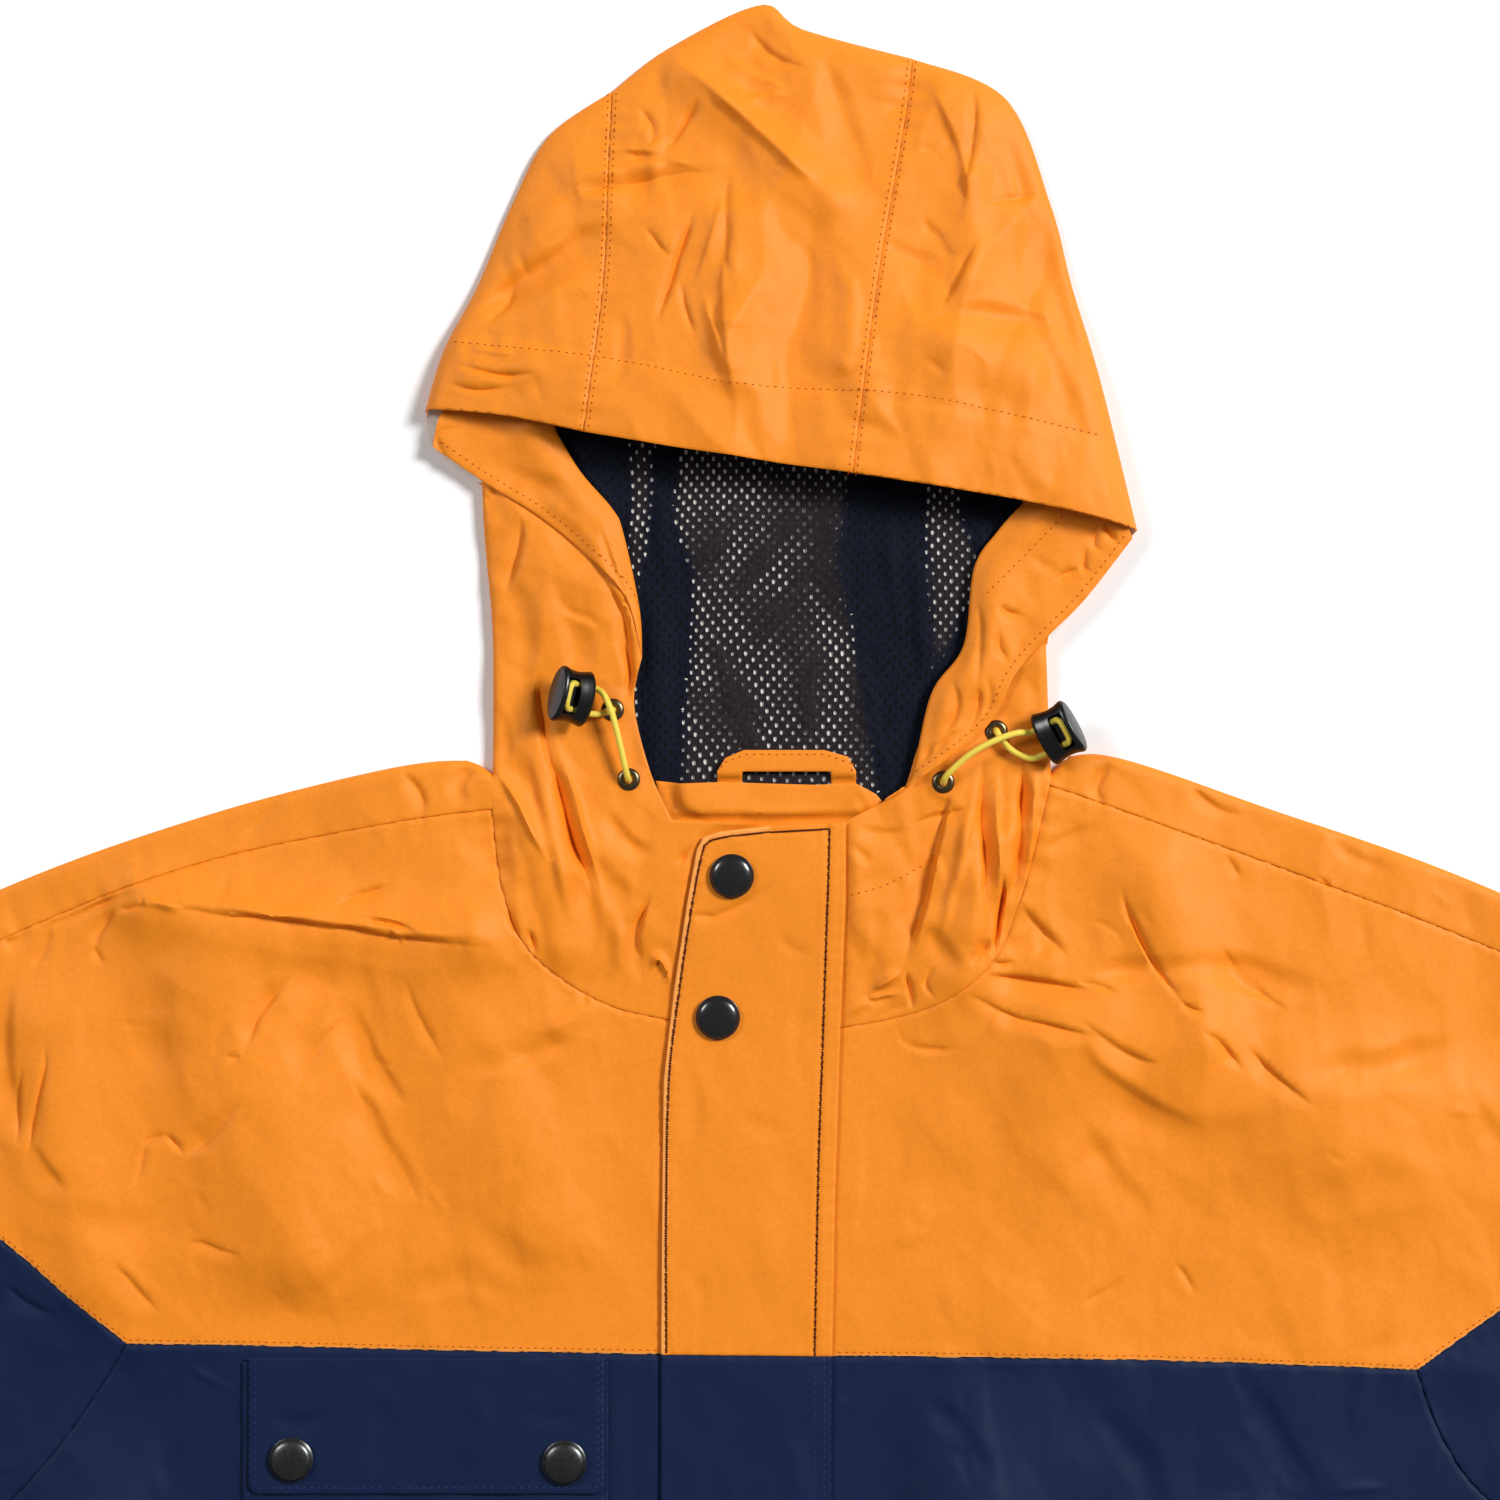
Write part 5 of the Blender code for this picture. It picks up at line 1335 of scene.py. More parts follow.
def finish(name, recipe, *choices):
    """The material of that name, made by its recipe the first time it is asked for."""
    if name not in bpy.data.materials:
        made = bpy.data.materials.new(name)
        made.use_nodes = True
        made.node_tree.nodes.clear()
        shader = add(made.node_tree, "ShaderNodeBsdfPrincipled", recipe(made.node_tree, *choices))
        add(made.node_tree, "ShaderNodeOutputMaterial", {"Surface": shader.outputs["BSDF"]})
    return bpy.data.materials[name]


def tone(colour, share=1.0):
    """A colour made lighter or darker by a share, opaque."""
    return (*(min(1.0, c * share) for c in colour[:3]), 1.0)


def calc(tree, operation, *values):
    return add(tree, "ShaderNodeMath", dict(enumerate(values)), operation=operation).outputs[0]


def noise(tree, scale, detail=2.0, roughness=0.5):
    """Noise over the piece's own coordinates; the scale is in waves a metre."""
    place = add(tree, "ShaderNodeTexCoord").outputs["Object"]
    return add(tree, "ShaderNodeTexNoise", {"Vector": place, "Scale": scale, "Detail": detail,
                                            "Roughness": roughness}).outputs["Fac"]


def blend(tree, share, low, high):
    mix = add(tree, "ShaderNodeMix", {"Factor": share, "A": low, "B": high}, data_type="RGBA")
    return mix.outputs["Result"]


def ranged(tree, value, start, end, low, high):
    """A value between start and end, brought to between low and high."""
    return add(tree, "ShaderNodeMapRange", {"Value": value, "From Min": start, "From Max": end,
                                            "To Min": low, "To Max": high}).outputs["Result"]


def brightened(tree, colour, share):
    scaled = add(tree, "ShaderNodeVectorMath", {0: colour, "Scale": share}, operation="SCALE")
    return scaled.outputs["Vector"]


def attribute(tree, name):
    return add(tree, "ShaderNodeAttribute", attribute_name=name).outputs["Fac"]


def bumped(tree, height, strength, depth):
    """The normal over a height whose full range is a depth in mm."""
    return add(tree, "ShaderNodeBump", {"Strength": strength, "Distance": depth * MM,
                                        "Height": height}).outputs["Normal"]


def weave_axes(tree):
    """Lengths across and along the grain, in metres."""
    weave = add(tree, "ShaderNodeUVMap", uv_map="weave").outputs["UV"]
    axes = add(tree, "ShaderNodeSeparateXYZ", {"Vector": weave})
    return axes.outputs["X"], axes.outputs["Y"]


def crossed(tree, first, first_pitch, second, second_pitch):
    """Two sines crossing: lengths in metres, their pitches in mm."""
    sines = [calc(tree, "SINE", calc(tree, "MULTIPLY", length, 2 * math.pi / (pitch * MM)))
             for length, pitch in ((first, first_pitch), (second, second_pitch))]
    return calc(tree, "MULTIPLY", *sines)


def coated_plain_weave(tree, colour, edge_highlight, roughness, thread=1.15, shine=0.35):
    """Plain-weave shell cloth with a thin matt coating: even colour, a faint thread grain that
    catches the light, and a soft, slightly waxy shine on the crests of its creases."""
    across, lengthways = weave_axes(tree)
    # the real threads are about 0.25 mm apart, too fine to show; they are drawn coarser
    weave = crossed(tree, across, thread, lengthways, thread * 0.9)
    blotch, grain = noise(tree, 14.0, 3.0), noise(tree, 620.0, 4.0, 0.65)
    even = blend(tree, blotch, tone(colour, 0.93), tone(colour, 1.07))
    specked = brightened(tree, even, ranged(tree, grain, 0.3, 0.7, 0.93, 1.05))
    height = calc(tree, "MULTIPLY_ADD", weave, 0.5, grain)
    # the colour is painted paler along named edges: a painted highlight where a folded edge catches the
    # light
    return {"Base Color": blend(tree, attribute(tree, "painted_edge_highlight"), specked, tone(edge_highlight)),
            "Roughness": roughness, "IOR": 1.47, "Specular IOR Level": shine,
            "Sheen Weight": 0.3 * shine, "Sheen Roughness": 0.45, "Sheen Tint": tone(colour, 1.3),
            "Normal": bumped(tree, height, 0.32, 0.12)}


def orange_cloth():
    colours = bpy.context.scene.jacket_colours
    # F6A24E is the paler orange of the painted edge highlight
    return finish("orange_coated_plain_weave", coated_plain_weave, colours.orange, linear("F6A24E"), 0.58)


def navy_cloth():
    navy = bpy.context.scene.jacket_colours.navy
    # its painted edge highlight would be 1.5 times the navy; no navy piece is given one
    return finish("navy_coated_plain_weave", coated_plain_weave, navy, tone(navy, 1.5), 0.62, 1.3, 0.22)


def white_coating(tree):
    """The cloth's inner face: a white polyurethane coating, smooth, chalky and slightly uneven."""
    cloud = noise(tree, 90.0, 4.0)
    return {"Base Color": blend(tree, cloud, tone(linear("E9E2D6")), tone(linear("FFFDF6"))),
            "Roughness": 0.5, "Normal": bumped(tree, cloud, 0.15, 0.1)}


def knitted_lining(tree, tint):
    """Warp-knitted polyester mesh: fine dark yarn with a dull shine, ribbed between its holes."""
    across, lengthways = weave_axes(tree)
    # the real yarns are finer than the picture shows; they are drawn coarser
    loops = crossed(tree, lengthways, 0.9, across, 0.8)
    lit = calc(tree, "MULTIPLY_ADD", loops, 0.35, noise(tree, 700.0, 3.0))
    # where one layer lies the yarn is painted a paler brownish grey, 261F23: painted light, as if the white
    # coating behind lit it through the holes
    base = blend(tree, attribute(tree, "single_ply_lit"), tone(tint), tone(linear("261F23")))
    return {"Base Color": brightened(tree, base, ranged(tree, lit, 0.2, 0.9, 0.2, 1.9)),
            "Roughness": 0.75, "Specular IOR Level": 0.12, "Sheen Weight": 0.03,
            "Normal": bumped(tree, lit, 0.6, 0.25)}


def spun_thread(tree, colour):
    """Twisted polyester sewing thread: a satin shine, with its twist just to be seen."""
    return {"Base Color": blend(tree, noise(tree, 1400.0), tone(colour, 0.75), tone(colour, 1.25)),
            "Roughness": 0.7, "Specular IOR Level": 0.15}


def metal_or_enamel(tree, dark, light, metallic, roughness, coat):
    """A pressed metal part: enamelled where metallic is 0, or plated, with fine handling marks."""
    marks = noise(tree, 520.0, 6.0, 0.7)
    return {"Base Color": blend(tree, marks, tone(linear(dark)), tone(linear(light))), "Metallic": metallic,
            "Roughness": ranged(tree, marks, 0.0, 1.0, roughness - 0.08, roughness + 0.1),
            "Coat Weight": coat, "Coat Roughness": 0.12, "Normal": bumped(tree, marks, 0.08, 0.05)}


def moulded_nylon(tree):
    """Injection-moulded black nylon: dark, with a soft satin highlight and a fine spark-eroded grain."""
    grain = noise(tree, 1600.0)
    return {"Base Color": blend(tree, grain, tone(linear("050607")), tone(linear("0E1012"))),
            "Roughness": 0.27, "IOR": 1.53, "Normal": bumped(tree, grain, 0.15, 0.04)}


def braided_cord(tree):
    """Braided elastic cord: yellow yarns crossing on the slant, round and slightly shiny."""
    colour = bpy.context.scene.jacket_colours.cord
    across, lengthways = weave_axes(tree)
    slants = [calc(tree, operation, across, lengthways) for operation in ("ADD", "SUBTRACT")]
    strands = ranged(tree, crossed(tree, slants[0], 0.94, slants[1], 0.94), -1.0, 1.0, 0.0, 1.0)
    return {"Base Color": blend(tree, strands, tone(colour, 0.74), tone(colour, 1.06)),
            "Roughness": 0.42, "Sheen Weight": 0.2, "Normal": bumped(tree, strands, 0.5, 0.2)}


def table_top(tree):
    """The pale table under the jacket: matt white laminate."""
    return {"Base Color": blend(tree, noise(tree, 3.0), tone(linear("F8F8F8")), tone(linear("FCFCFC"))),
            "Roughness": 0.9, "Specular IOR Level": 0.1}


# ---- cords ----
def lock_axes(lock):
    """The lock's long side, its depth and the way its two bores run."""
    heading, tilt = math.radians(lock["heading"]), math.radians(lock["tilt"])
    bore = Vector((math.cos(heading) * math.cos(tilt), math.sin(heading) * math.cos(tilt), math.sin(tilt)))
    long_side = Vector((math.sin(heading), -math.cos(heading), 0))
    return long_side, bore.cross(long_side), bore


def cord_through(lock):
    """The cord's points in a lock: up one bore, across its open window and down the other."""
    long_side, deep, bore = lock_axes(lock)
    # from the lock's middle: across, along the bores, up from them
    out = [(-BORE_OFFSET, forward, 0) for forward in (-7.5, -6, -4, -2)]
    out += [(-BORE_OFFSET, 0.6, 0.5), (-BORE_OFFSET, 2.8, 1.6), (-BORE_OFFSET + 0.1, 4.5, 2.7)]
    out.append((-BORE_OFFSET + 1.3, TURN_AT, TURN_UP))
    back = [(-across, forward, up) for across, forward, up in out[::-1]]
    top = [(0, TURN_AT + 0.3, TURN_UP + 0.3)]
    return [tuple(Vector(lock["middle"]) + long_side * across + bore * forward - deep * up)
            for across, forward, up in out + top + back]


def cord_route(wearer):
    through = cord_through(LOCKS[f"cord_lock_{wearer}"])
    if wearer == "right":
        through = through[::-1]
    return curve_through(CORD_LEADS[wearer]["out"] + through + CORD_LEADS[wearer]["back"], CORD_STEP)


def tube(name, route, diameter, coat, sides=14):
    """A round mesh tube along a route, closed at both ends, its UV map running along it."""
    route = np.array(route) * MM
    run = np.gradient(route, axis=0)
    run /= np.linalg.norm(run, axis=1)[:, None]
    side = np.cross(run[0], (0, 1, 0.3))
    turns = np.arange(sides) * 2 * math.pi / sides
    rings = []
    for place, ahead in zip(route, run):
        side = side - ahead * np.dot(side, ahead)
        side /= np.linalg.norm(side)
        third = np.cross(ahead, side)
        circle = np.outer(np.cos(turns), side) + np.outer(np.sin(turns), third)
        rings.append(place + diameter * MM / 2 * circle)
    count = len(route) * sides
    faces = []
    for ring in range(0, count - sides, sides):
        for k in range(sides):
            a, b = ring + k, ring + (k + 1) % sides
            faces.append((a, b, b + sides, a + sides))
    faces += [tuple(range(sides))[::-1], tuple(range(count - sides, count))]
    made = new_object(name, np.vstack(rings), faces, [coat])
    passed = np.concatenate(([0], np.cumsum(np.linalg.norm(np.diff(route, axis=0), axis=1))))
    layer = made.data.uv_layers.new(name="weave")
    around = math.pi * diameter * MM
    for face in made.data.polygons:
        for loop in face.loop_indices:
            ring, k = divmod(made.data.loops[loop].vertex_index, sides)
            last = k == 0 and len(face.vertices) == 4 and any(v % sides == sides - 1 for v in face.vertices)
            layer.data[loop].uv = ((sides if last else k) / sides * around, passed[ring])
    smooth(made, 60)
    return made


# ---- small hard pieces ----
def stacked(name, profile, sides=48, closed=False):
    """A turned piece: a ring or disc, extruded through the profile's (radius, height) pairs, in mm."""
    radius, height = profile[0]
    bpy.ops.object.select_all(action="DESELECT")
    bpy.ops.mesh.primitive_circle_add(vertices=sides, radius=radius * MM, location=(0, 0, height * MM),
                                      fill_type="NOTHING" if closed else "NGON")
    made = bpy.context.active_object
    made.name = name
    made.data.name = name
    bpy.ops.object.mode_set(mode="EDIT")
    bpy.ops.mesh.select_all(action="SELECT")
    for next_radius, next_height in profile[1:]:
        rise = (0, 0, (next_height - height) * MM)
        bpy.ops.mesh.extrude_region_move(TRANSFORM_OT_translate={"value": rise})
        share = next_radius / radius
        bpy.ops.transform.resize(value=(share, share, 1), center_override=(0, 0, 0))
        radius, height = next_radius, next_height
    bpy.ops.mesh.select_all(action="SELECT")
    bpy.ops.mesh.remove_doubles(threshold=1e-6)
    bpy.ops.mesh.normals_make_consistent(inside=False)
    bpy.ops.object.mode_set(mode="OBJECT")
    return made


def placed(made, matrix):
    """Moves a finished piece to its place, and leaves its object at the origin."""
    bpy.context.view_layer.update()
    made.matrix_world = matrix @ made.matrix_world
    only(made)
    bpy.ops.object.transform_apply(location=True, rotation=True, scale=True)


def moved(x, y, z):
    """The matrix of a move in mm."""
    return Matrix.Translation(Vector((x, y, z)) * MM)


def bevelled(made, width):
    modified(made, "BEVEL", width=width * MM, segments=3, limit_method="ANGLE",
             angle_limit=math.radians(40))


def cut_by(made, cutter):
    modified(made, "BOOLEAN", operation="DIFFERENCE", solver="EXACT", object=cutter)
    bpy.data.objects.remove(cutter)


def settled(made, node, coat, degrees):
    """Gives a hard piece its finish and its shading, attaches it to the root and hides the CAD part that it
    stands for.
    """
    made.data.materials.clear()
    made.data.materials.append(coat)
    smooth(made, degrees)
    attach(made, "root")
    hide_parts(node)


def snap_profile():
    """Half the cap's section: rolled edge, low dome and a slightly flattened middle."""
    rim = [(1.0 - 0.06 * math.cos(math.radians(a)) ** 2, 0.16 + 0.16 * math.sin(math.radians(a)))
           for a in range(-90, 91, 30)]
    dome = [(math.cos(math.radians(a)) * 0.93, 0.34 + 0.66 * math.sin(math.radians(a)) ** 0.85)
            for a in range(8, 88, 8)]
    return [(r * SNAP_RADIUS, z * SNAP_HEIGHT) for r, z in rim + dome] + [(0.15, SNAP_HEIGHT)]


def snap_cap(node, x, y, layers):
    low, seat, high = front_low(np.array([(x, y - 0.5), (x, y), (x, y + 0.5)]))
    made = stacked(f"{node}_cap", snap_profile())
    tilt = Matrix.Rotation(math.atan(high - low), 4, "X")
    placed(made, moved(x, y, seat + LAYER * layers + SNAP_SEAT) @ tilt)
    if node.startswith("snap_flap"):
        coat = finish("black_enamelled_snap", metal_or_enamel, "0B0C0E", "1B1C20", 0.0, 0.24, 0.6)
    else:
        coat = finish("gunmetal_plated_snap", metal_or_enamel, "3C3E3C", "6A6C6C", 1.0, 0.3, 0.0)
    settled(made, node, coat, 50)


def eyelet_ring(node, x, y):
    """A rolled flange on the cloth and a barrel through it."""
    bore, rim = EYELET_BORE, EYELET_FLANGE
    section = [(bore + 0.25, -1.2), (bore, -0.2), (bore + 0.05, 0.45), (bore + 0.45, 0.8),
               (bore + 1.1, 0.86), (rim - 0.7, 0.66), (rim - 0.15, 0.3), (rim, 0.02), (rim - 0.3, -0.1),
               (bore + 0.75, -0.1), (bore + 0.7, -1.2), (bore + 0.25, -1.2)]
    made = stacked(f"{node}_ring", section, 40, closed=True)
    placed(made, moved(x, y, front_low(np.array([(x, y)]))[0] + CLOTH))
    brass = finish("blackened_brass_eyelet", metal_or_enamel, "33302C", "8C7C5A", 1.0, 0.3, 0.0)
    settled(made, node, brass, 50)


def lock_body(node, lock):
    """A barrel cord lock: flared ends, a waist, two bores, and a window where the cord turns back."""
    levels = [(LOCK_START, 0.9), (LOCK_START + 0.8, 0.985), (LOCK_START + 1.5, 1.0), (-0.5, 0.93),
              (2.2, 0.9), (5.0, 0.93), (LOCK_END - 1.5, 1.0), (LOCK_END - 0.7, 0.985), (LOCK_END, 0.9)]
    made = stacked(f"{node}_body", [(LOCK_LONG / 2 * share, z) for z, share in levels], 56)
    made.scale = (1, LOCK_DEEP / LOCK_LONG, 1)
    placed(made, Matrix.Identity(4))
    bevelled(made, 0.55)
    for offset in (-BORE_OFFSET, BORE_OFFSET):
        bpy.ops.mesh.primitive_cylinder_add(vertices=32, radius=LOCK_BORE / 2 * MM, depth=BORE_DEPTH * MM,
                                            location=(offset * MM, 0, BORE_MIDDLE * MM))
        cut_by(made, bpy.context.active_object)
    # the cord crosses over in a window, open on the lock's upper side
    bpy.ops.object.select_all(action="DESELECT")
    bpy.ops.mesh.primitive_cube_add(size=1, location=Vector(WINDOW_MIDDLE) * MM)
    window = bpy.context.active_object
    window.scale = Vector(WINDOW_SIZE) * MM
    placed(window, Matrix.Identity(4))
    bevelled(window, 0.9)
    cut_by(made, window)
    placed(made, moved(*lock["middle"]) @ Matrix(lock_axes(lock)).transposed().to_4x4())
    settled(made, node, finish("black_moulded_nylon", moulded_nylon), 35)


# ---- stitching ----
def surface_of(names):
    """One search tree of the meshes of the cloths that stand for some nodes."""
    points, faces = [], []
    for name in names:
        mesh = bpy.data.objects[f"{name}_cloth"].data
        faces += [tuple(v + len(points) for v in face.vertices) for face in mesh.polygons]
        points += [v.co[:] for v in mesh.vertices]
    return BVHTree.FromPolygons(points, faces)


def one_stitch():
    """The stitch that is copied: a rod six-sided and bowed, its ends drawn down into the cloth."""
    half = STITCH_THICK / 2
    ends = [(0.5 * half, -0.5), (half, -0.3), (half, 0.0), (half, 0.3), (0.5 * half, 0.5)]
    rod = stacked("stitch", [(radius, place * STITCH_LONG) for radius, place in ends], 6)
    rod.matrix_world = Matrix.Rotation(math.radians(90), 4, "Y")
    only(rod)
    bpy.ops.object.transform_apply(location=True, rotation=True, scale=True)
    points = np.array([v.co[:] for v in rod.data.vertices])
    points[:, 2] += (0.12 - 0.42 * (2 * points[:, 0] / (STITCH_LONG * MM)) ** 2) * MM
    faces = [tuple(face.vertices) for face in rod.data.polygons]
    bpy.data.objects.remove(rod)
    return points, faces


def stitching(name, cloths, runs, thread, covers=(), pitch=STITCH_PITCH, thick=1.0):
    """Rows of stitches along lines in plan, each laid on the cloth under it."""
    tree = surface_of(cloths)
    rod, rod_faces = one_stitch()
    rod = rod * (1, thick, thick) + (0, 0, 0.25 * (thick - 1) * MM)
    points, faces = [], []
    for line in runs:
        line = np.asarray(line, float)
        passed = np.concatenate(([0], np.cumsum(np.hypot(*np.diff(line, axis=0).T))))
        marks = np.arange(pitch / 2, passed[-1], pitch)
        here, ahead = (np.stack([np.interp(marks + on, passed, line[:, k]) for k in (0, 1)], axis=1)
                       for on in (0, 0.5))
        hidden = np.any([np.zeros(len(marks), bool)] + [inside(here, cover) for cover in covers], axis=0)
        for (x, y), step, out_of_sight in zip(here, ahead - here, hidden):
            hit, normal, _, _ = tree.ray_cast(Vector((x, y, 90)) * MM, Vector((0, 0, -1)))
            if out_of_sight or hit is None or normal.z < 0.2 or hit.z < STITCH_LEAST * MM:
                continue
            run = Vector((*step, 0)).normalized()
            run = (run - normal * run.dot(normal)).normalized()
            faces += [tuple(v + len(points) * len(rod) for v in face) for face in rod_faces]
            points.append(rod @ np.array((run, normal.cross(run), normal)) + np.array(hit))
    made = new_object(name, np.vstack(points), faces, [thread])
    smooth(made, 50)
    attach(made, "root")


# ---- operators ----
class JACKET_OT_stage(bpy.types.Operator):
    """Adds the table, the soft lights and the camera above the hood"""
    bl_idname = "jacket.stage"
    bl_label = "Table, lights and camera"

    def execute(self, context):
        settings = context.scene.jacket_stage
        bpy.ops.object.select_all(action="DESELECT")
        bpy.ops.mesh.primitive_plane_add(size=TABLE_WIDE, location=(0, 0, -TABLE_GAP * MM))
        table = context.active_object
        table.name = "table_top"
        table.data.materials.append(finish("white_matt_table", table_top))
        middle = Vector((*VIEW_CENTRE, 0)) * MM
        lit = middle + Vector(LIT_FROM_VIEW)
        for name, side, share in (("softbox_right", -1, 0.5), ("softbox_left", 1, 1.5)):
            place = lit + Vector((SOFTBOX_PLACE[0] * side, *SOFTBOX_PLACE[1:]))
            bpy.ops.object.light_add(type="AREA", location=place)
            light = context.active_object
            light.name = name
            light.rotation_euler = (lit - place).to_track_quat("-Z", "Y").to_euler()
            light.data.shape = "SQUARE"
            light.data.size = SOFTBOX_SIZE
            light.data.energy = settings.softbox * share
        world = bpy.data.worlds.new("soft white room")
        world.use_nodes = True
        light_all_round = world.node_tree.nodes["Background"].inputs
        light_all_round["Color"].default_value = (1, 1, 1, 1)
        light_all_round["Strength"].default_value = settings.ambient
        context.scene.world = world
        bpy.ops.object.camera_add(location=(middle.x, middle.y, settings.camera_height), rotation=(0, 0, 0))
        camera = context.active_object
        camera.name = "camera_above"
        above_cloth = settings.camera_height - CLOTH_LEVEL * MM
        camera.data.lens = camera.data.sensor_width * above_cloth / (VIEW_WIDTH * MM)
        camera.data.dof.use_dof = False
        context.scene.camera = camera
        context.scene.view_settings.view_transform = "Standard"
        return {"FINISHED"}


class JACKET_OT_cords(bpy.types.Operator):
    """Lays the two yellow drawcords through their eyelets and locks"""
    bl_idname = "jacket.cords"
    bl_label = "Drawcords"

    def execute(self, context):
        for wearer in WEARERS:
            route = cord_route(wearer)
            braid = finish("yellow_braided_cord", braided_cord)
            made = tube(f"cord_{wearer}_braid", route, CORD_DIAMETER, braid)
            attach(made, "root")
            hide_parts(f"cord_{wearer}")
        return {"FINISHED"}


class JACKET_OT_locks(bpy.types.Operator):
    """Adds the two cord locks"""
    bl_idname = "jacket.locks"
    bl_label = "Cord locks"

    def execute(self, context):
        for node, lock in LOCKS.items():
            lock_body(node, lock)
        return {"FINISHED"}


class JACKET_OT_eyelets(bpy.types.Operator):
    """Adds the four eyelets that the drawcords run through"""
    bl_idname = "jacket.eyelets"
    bl_label = "Eyelets"

    def execute(self, context):
        for node, place in EYELETS.items():
            eyelet_ring(node, *place)
        return {"FINISHED"}


class JACKET_OT_snaps(bpy.types.Operator):
    """Adds the four snap caps"""
    bl_idname = "jacket.snaps"
    bl_label = "Snaps"

    def execute(self, context):
        for node, place in SNAPS.items():
            snap_cap(node, *place)
        return {"FINISHED"}


def named(names, wearer):
    """Names of lines or nodes, each with the wearer's side after it."""
    return [f"{name}_{wearer}" for name in names.split()]


class JACKET_OT_body(bpy.types.Operator):
    """Makes the navy front and back of the body"""
    bl_idname = "jacket.body"
    bl_label = "Front and back body"

    def execute(self, context):
        around = named("armhole side", "right") + ["hem"] + named("-side -armhole -yoke", "left")
        slit = [(SEAM_GAP, OPENING_END_Y), (-SEAM_GAP, OPENING_END_Y)]
        sides = ("side_right", "side_left")
        back = Layer(around + ["-yoke_right"], floor_level, sides, under=True)
        front = Layer(around + slit + ["-yoke_right"], front_cloth, sides,
                      named("armhole yoke", "right") + named("armhole yoke", "left"), ("hem",))
        cloth_piece("back_body", [back], [navy_cloth()])
        cloth_piece("front_body", [front], [navy_cloth()])
        return {"FINISHED"}


class JACKET_OT_sleeves(bpy.types.Operator):
    """Makes the two navy sleeves"""
    bl_idname = "jacket.sleeves"
    bl_label = "Sleeves"

    def execute(self, context):
        for wearer, grain in (("right", -SLEEVE_GRAIN), ("left", SLEEVE_GRAIN)):
            around = named("slant slant_top sleeve_top cuff sleeve_under -armhole", wearer)
            edges = named("sleeve_top sleeve_under", wearer)
            above = Layer(around, front_cloth, edges, named("slant slant_top", wearer),
                          named("cuff armhole", wearer))
            below = Layer(around, floor_level, edges, under=True)
            cloth_piece(f"sleeve_{wearer}", [above, below], [navy_cloth()], grain)
        return {"FINISHED"}


class JACKET_OT_yokes(bpy.types.Operator):
    """Makes the orange back yoke, with its strips over the shoulders, and the two front yokes"""
    bl_idname = "jacket.yokes"
    bl_label = "Yokes"

    def execute(self, context):
        around = (["yoke_right"] + named("yoke slant slant_top -shoulder -back_neck", "left")
                  + ["-back_neck_centre"] + named("-back_neck shoulder -slant_top -slant", "right"))
        layers = [Layer(around, floor_level, ("shoulder_right", "shoulder_left"), under=True)]
        for wearer in WEARERS:
            layers.append(Layer(named("shoulder -slant_top -front_shoulder -neck_top", wearer), front_cloth,
                                named("shoulder", wearer), free=named("front_shoulder", wearer)))
        cloth_piece("back_yoke", layers, [orange_cloth()])
        for wearer, waist in (("right", "yoke_right"), ("left", "-yoke_left")):
            around = [*named("front_shoulder -slant", wearer), waist, (0, 129), f"-neck_seam_{wearer}"]
            lower = named("slant yoke", wearer)
            yoke = Layer(around, front_cloth, tucked=named("neck_seam front_shoulder", wearer), free=lower)
            # a highlight is painted paler along each front yoke's lower edges
            cloth_piece(f"front_yoke_{wearer}", [yoke], [orange_cloth()],
                        edge_highlight=[(line_of(name, 3.0), SEAM_HIGHLIGHT) for name in lower])
        return {"FINISHED"}


class JACKET_OT_hood(bpy.types.Operator):
    """Makes the hood: centre panel, the two sides with the neck, and the turned-out facings"""
    bl_idname = "jacket.hood"
    bl_label = "Hood"

    def execute(self, context):
        two_faced = [orange_cloth(), finish("white_coated_back", white_coating)]
        seams = ("hood_seam_left", "hood_seam_right")
        below = Layer(["apex", "under_seam_left", "-back_neck_centre", "-under_seam_right"], floor_level,
                      ("apex",), under=True)
        above = Layer(["apex", "hood_seam_left", "-brim_centre", "-hood_seam_right"], crown_cloth,
                      ("apex",), free=("brim_centre", *seams))
        cloth_piece("hood_centre", [below, above], two_faced)
        for wearer in WEARERS:
            turn = "" if wearer == "right" else "-"
            below = Layer(named(f"crown tip neck_side {turn}back_neck -under_seam", wearer),
                          floor_level, named("crown neck_side", wearer), under=True)
            over = Layer(named(f"crown {turn}brim -hood_seam", wearer), crown_cloth, named("crown", wearer),
                         named("hood_seam", wearer), named("brim", wearer))
            around = [f"-neck_side_{wearer}", *UNDER_BRIM[wearer], *named("roll face collar", wearer),
                      (0, 129), *named("-neck_seam -neck_top", wearer)]
            front = Layer(around, front_cloth, named("neck_side roll", wearer),
                          free=named("face collar neck_seam", wearer))
            cloth_piece(f"hood_side_{wearer}", [below, over, front], two_faced)
            facing = Layer(named("facing_edge -roll", wearer) + BEHIND[wearer], facing_cloth,
                           named("roll", wearer), free=named("facing_edge", wearer))
            cloth_piece(f"hood_facing_{wearer}", [facing], [orange_cloth()])
        return {"FINISHED"}


def doubled(xy):
    """Whether each place of the lining lies over a second layer."""
    return np.any([inside(xy, outline) for outline in LINING_DOUBLED], axis=0)


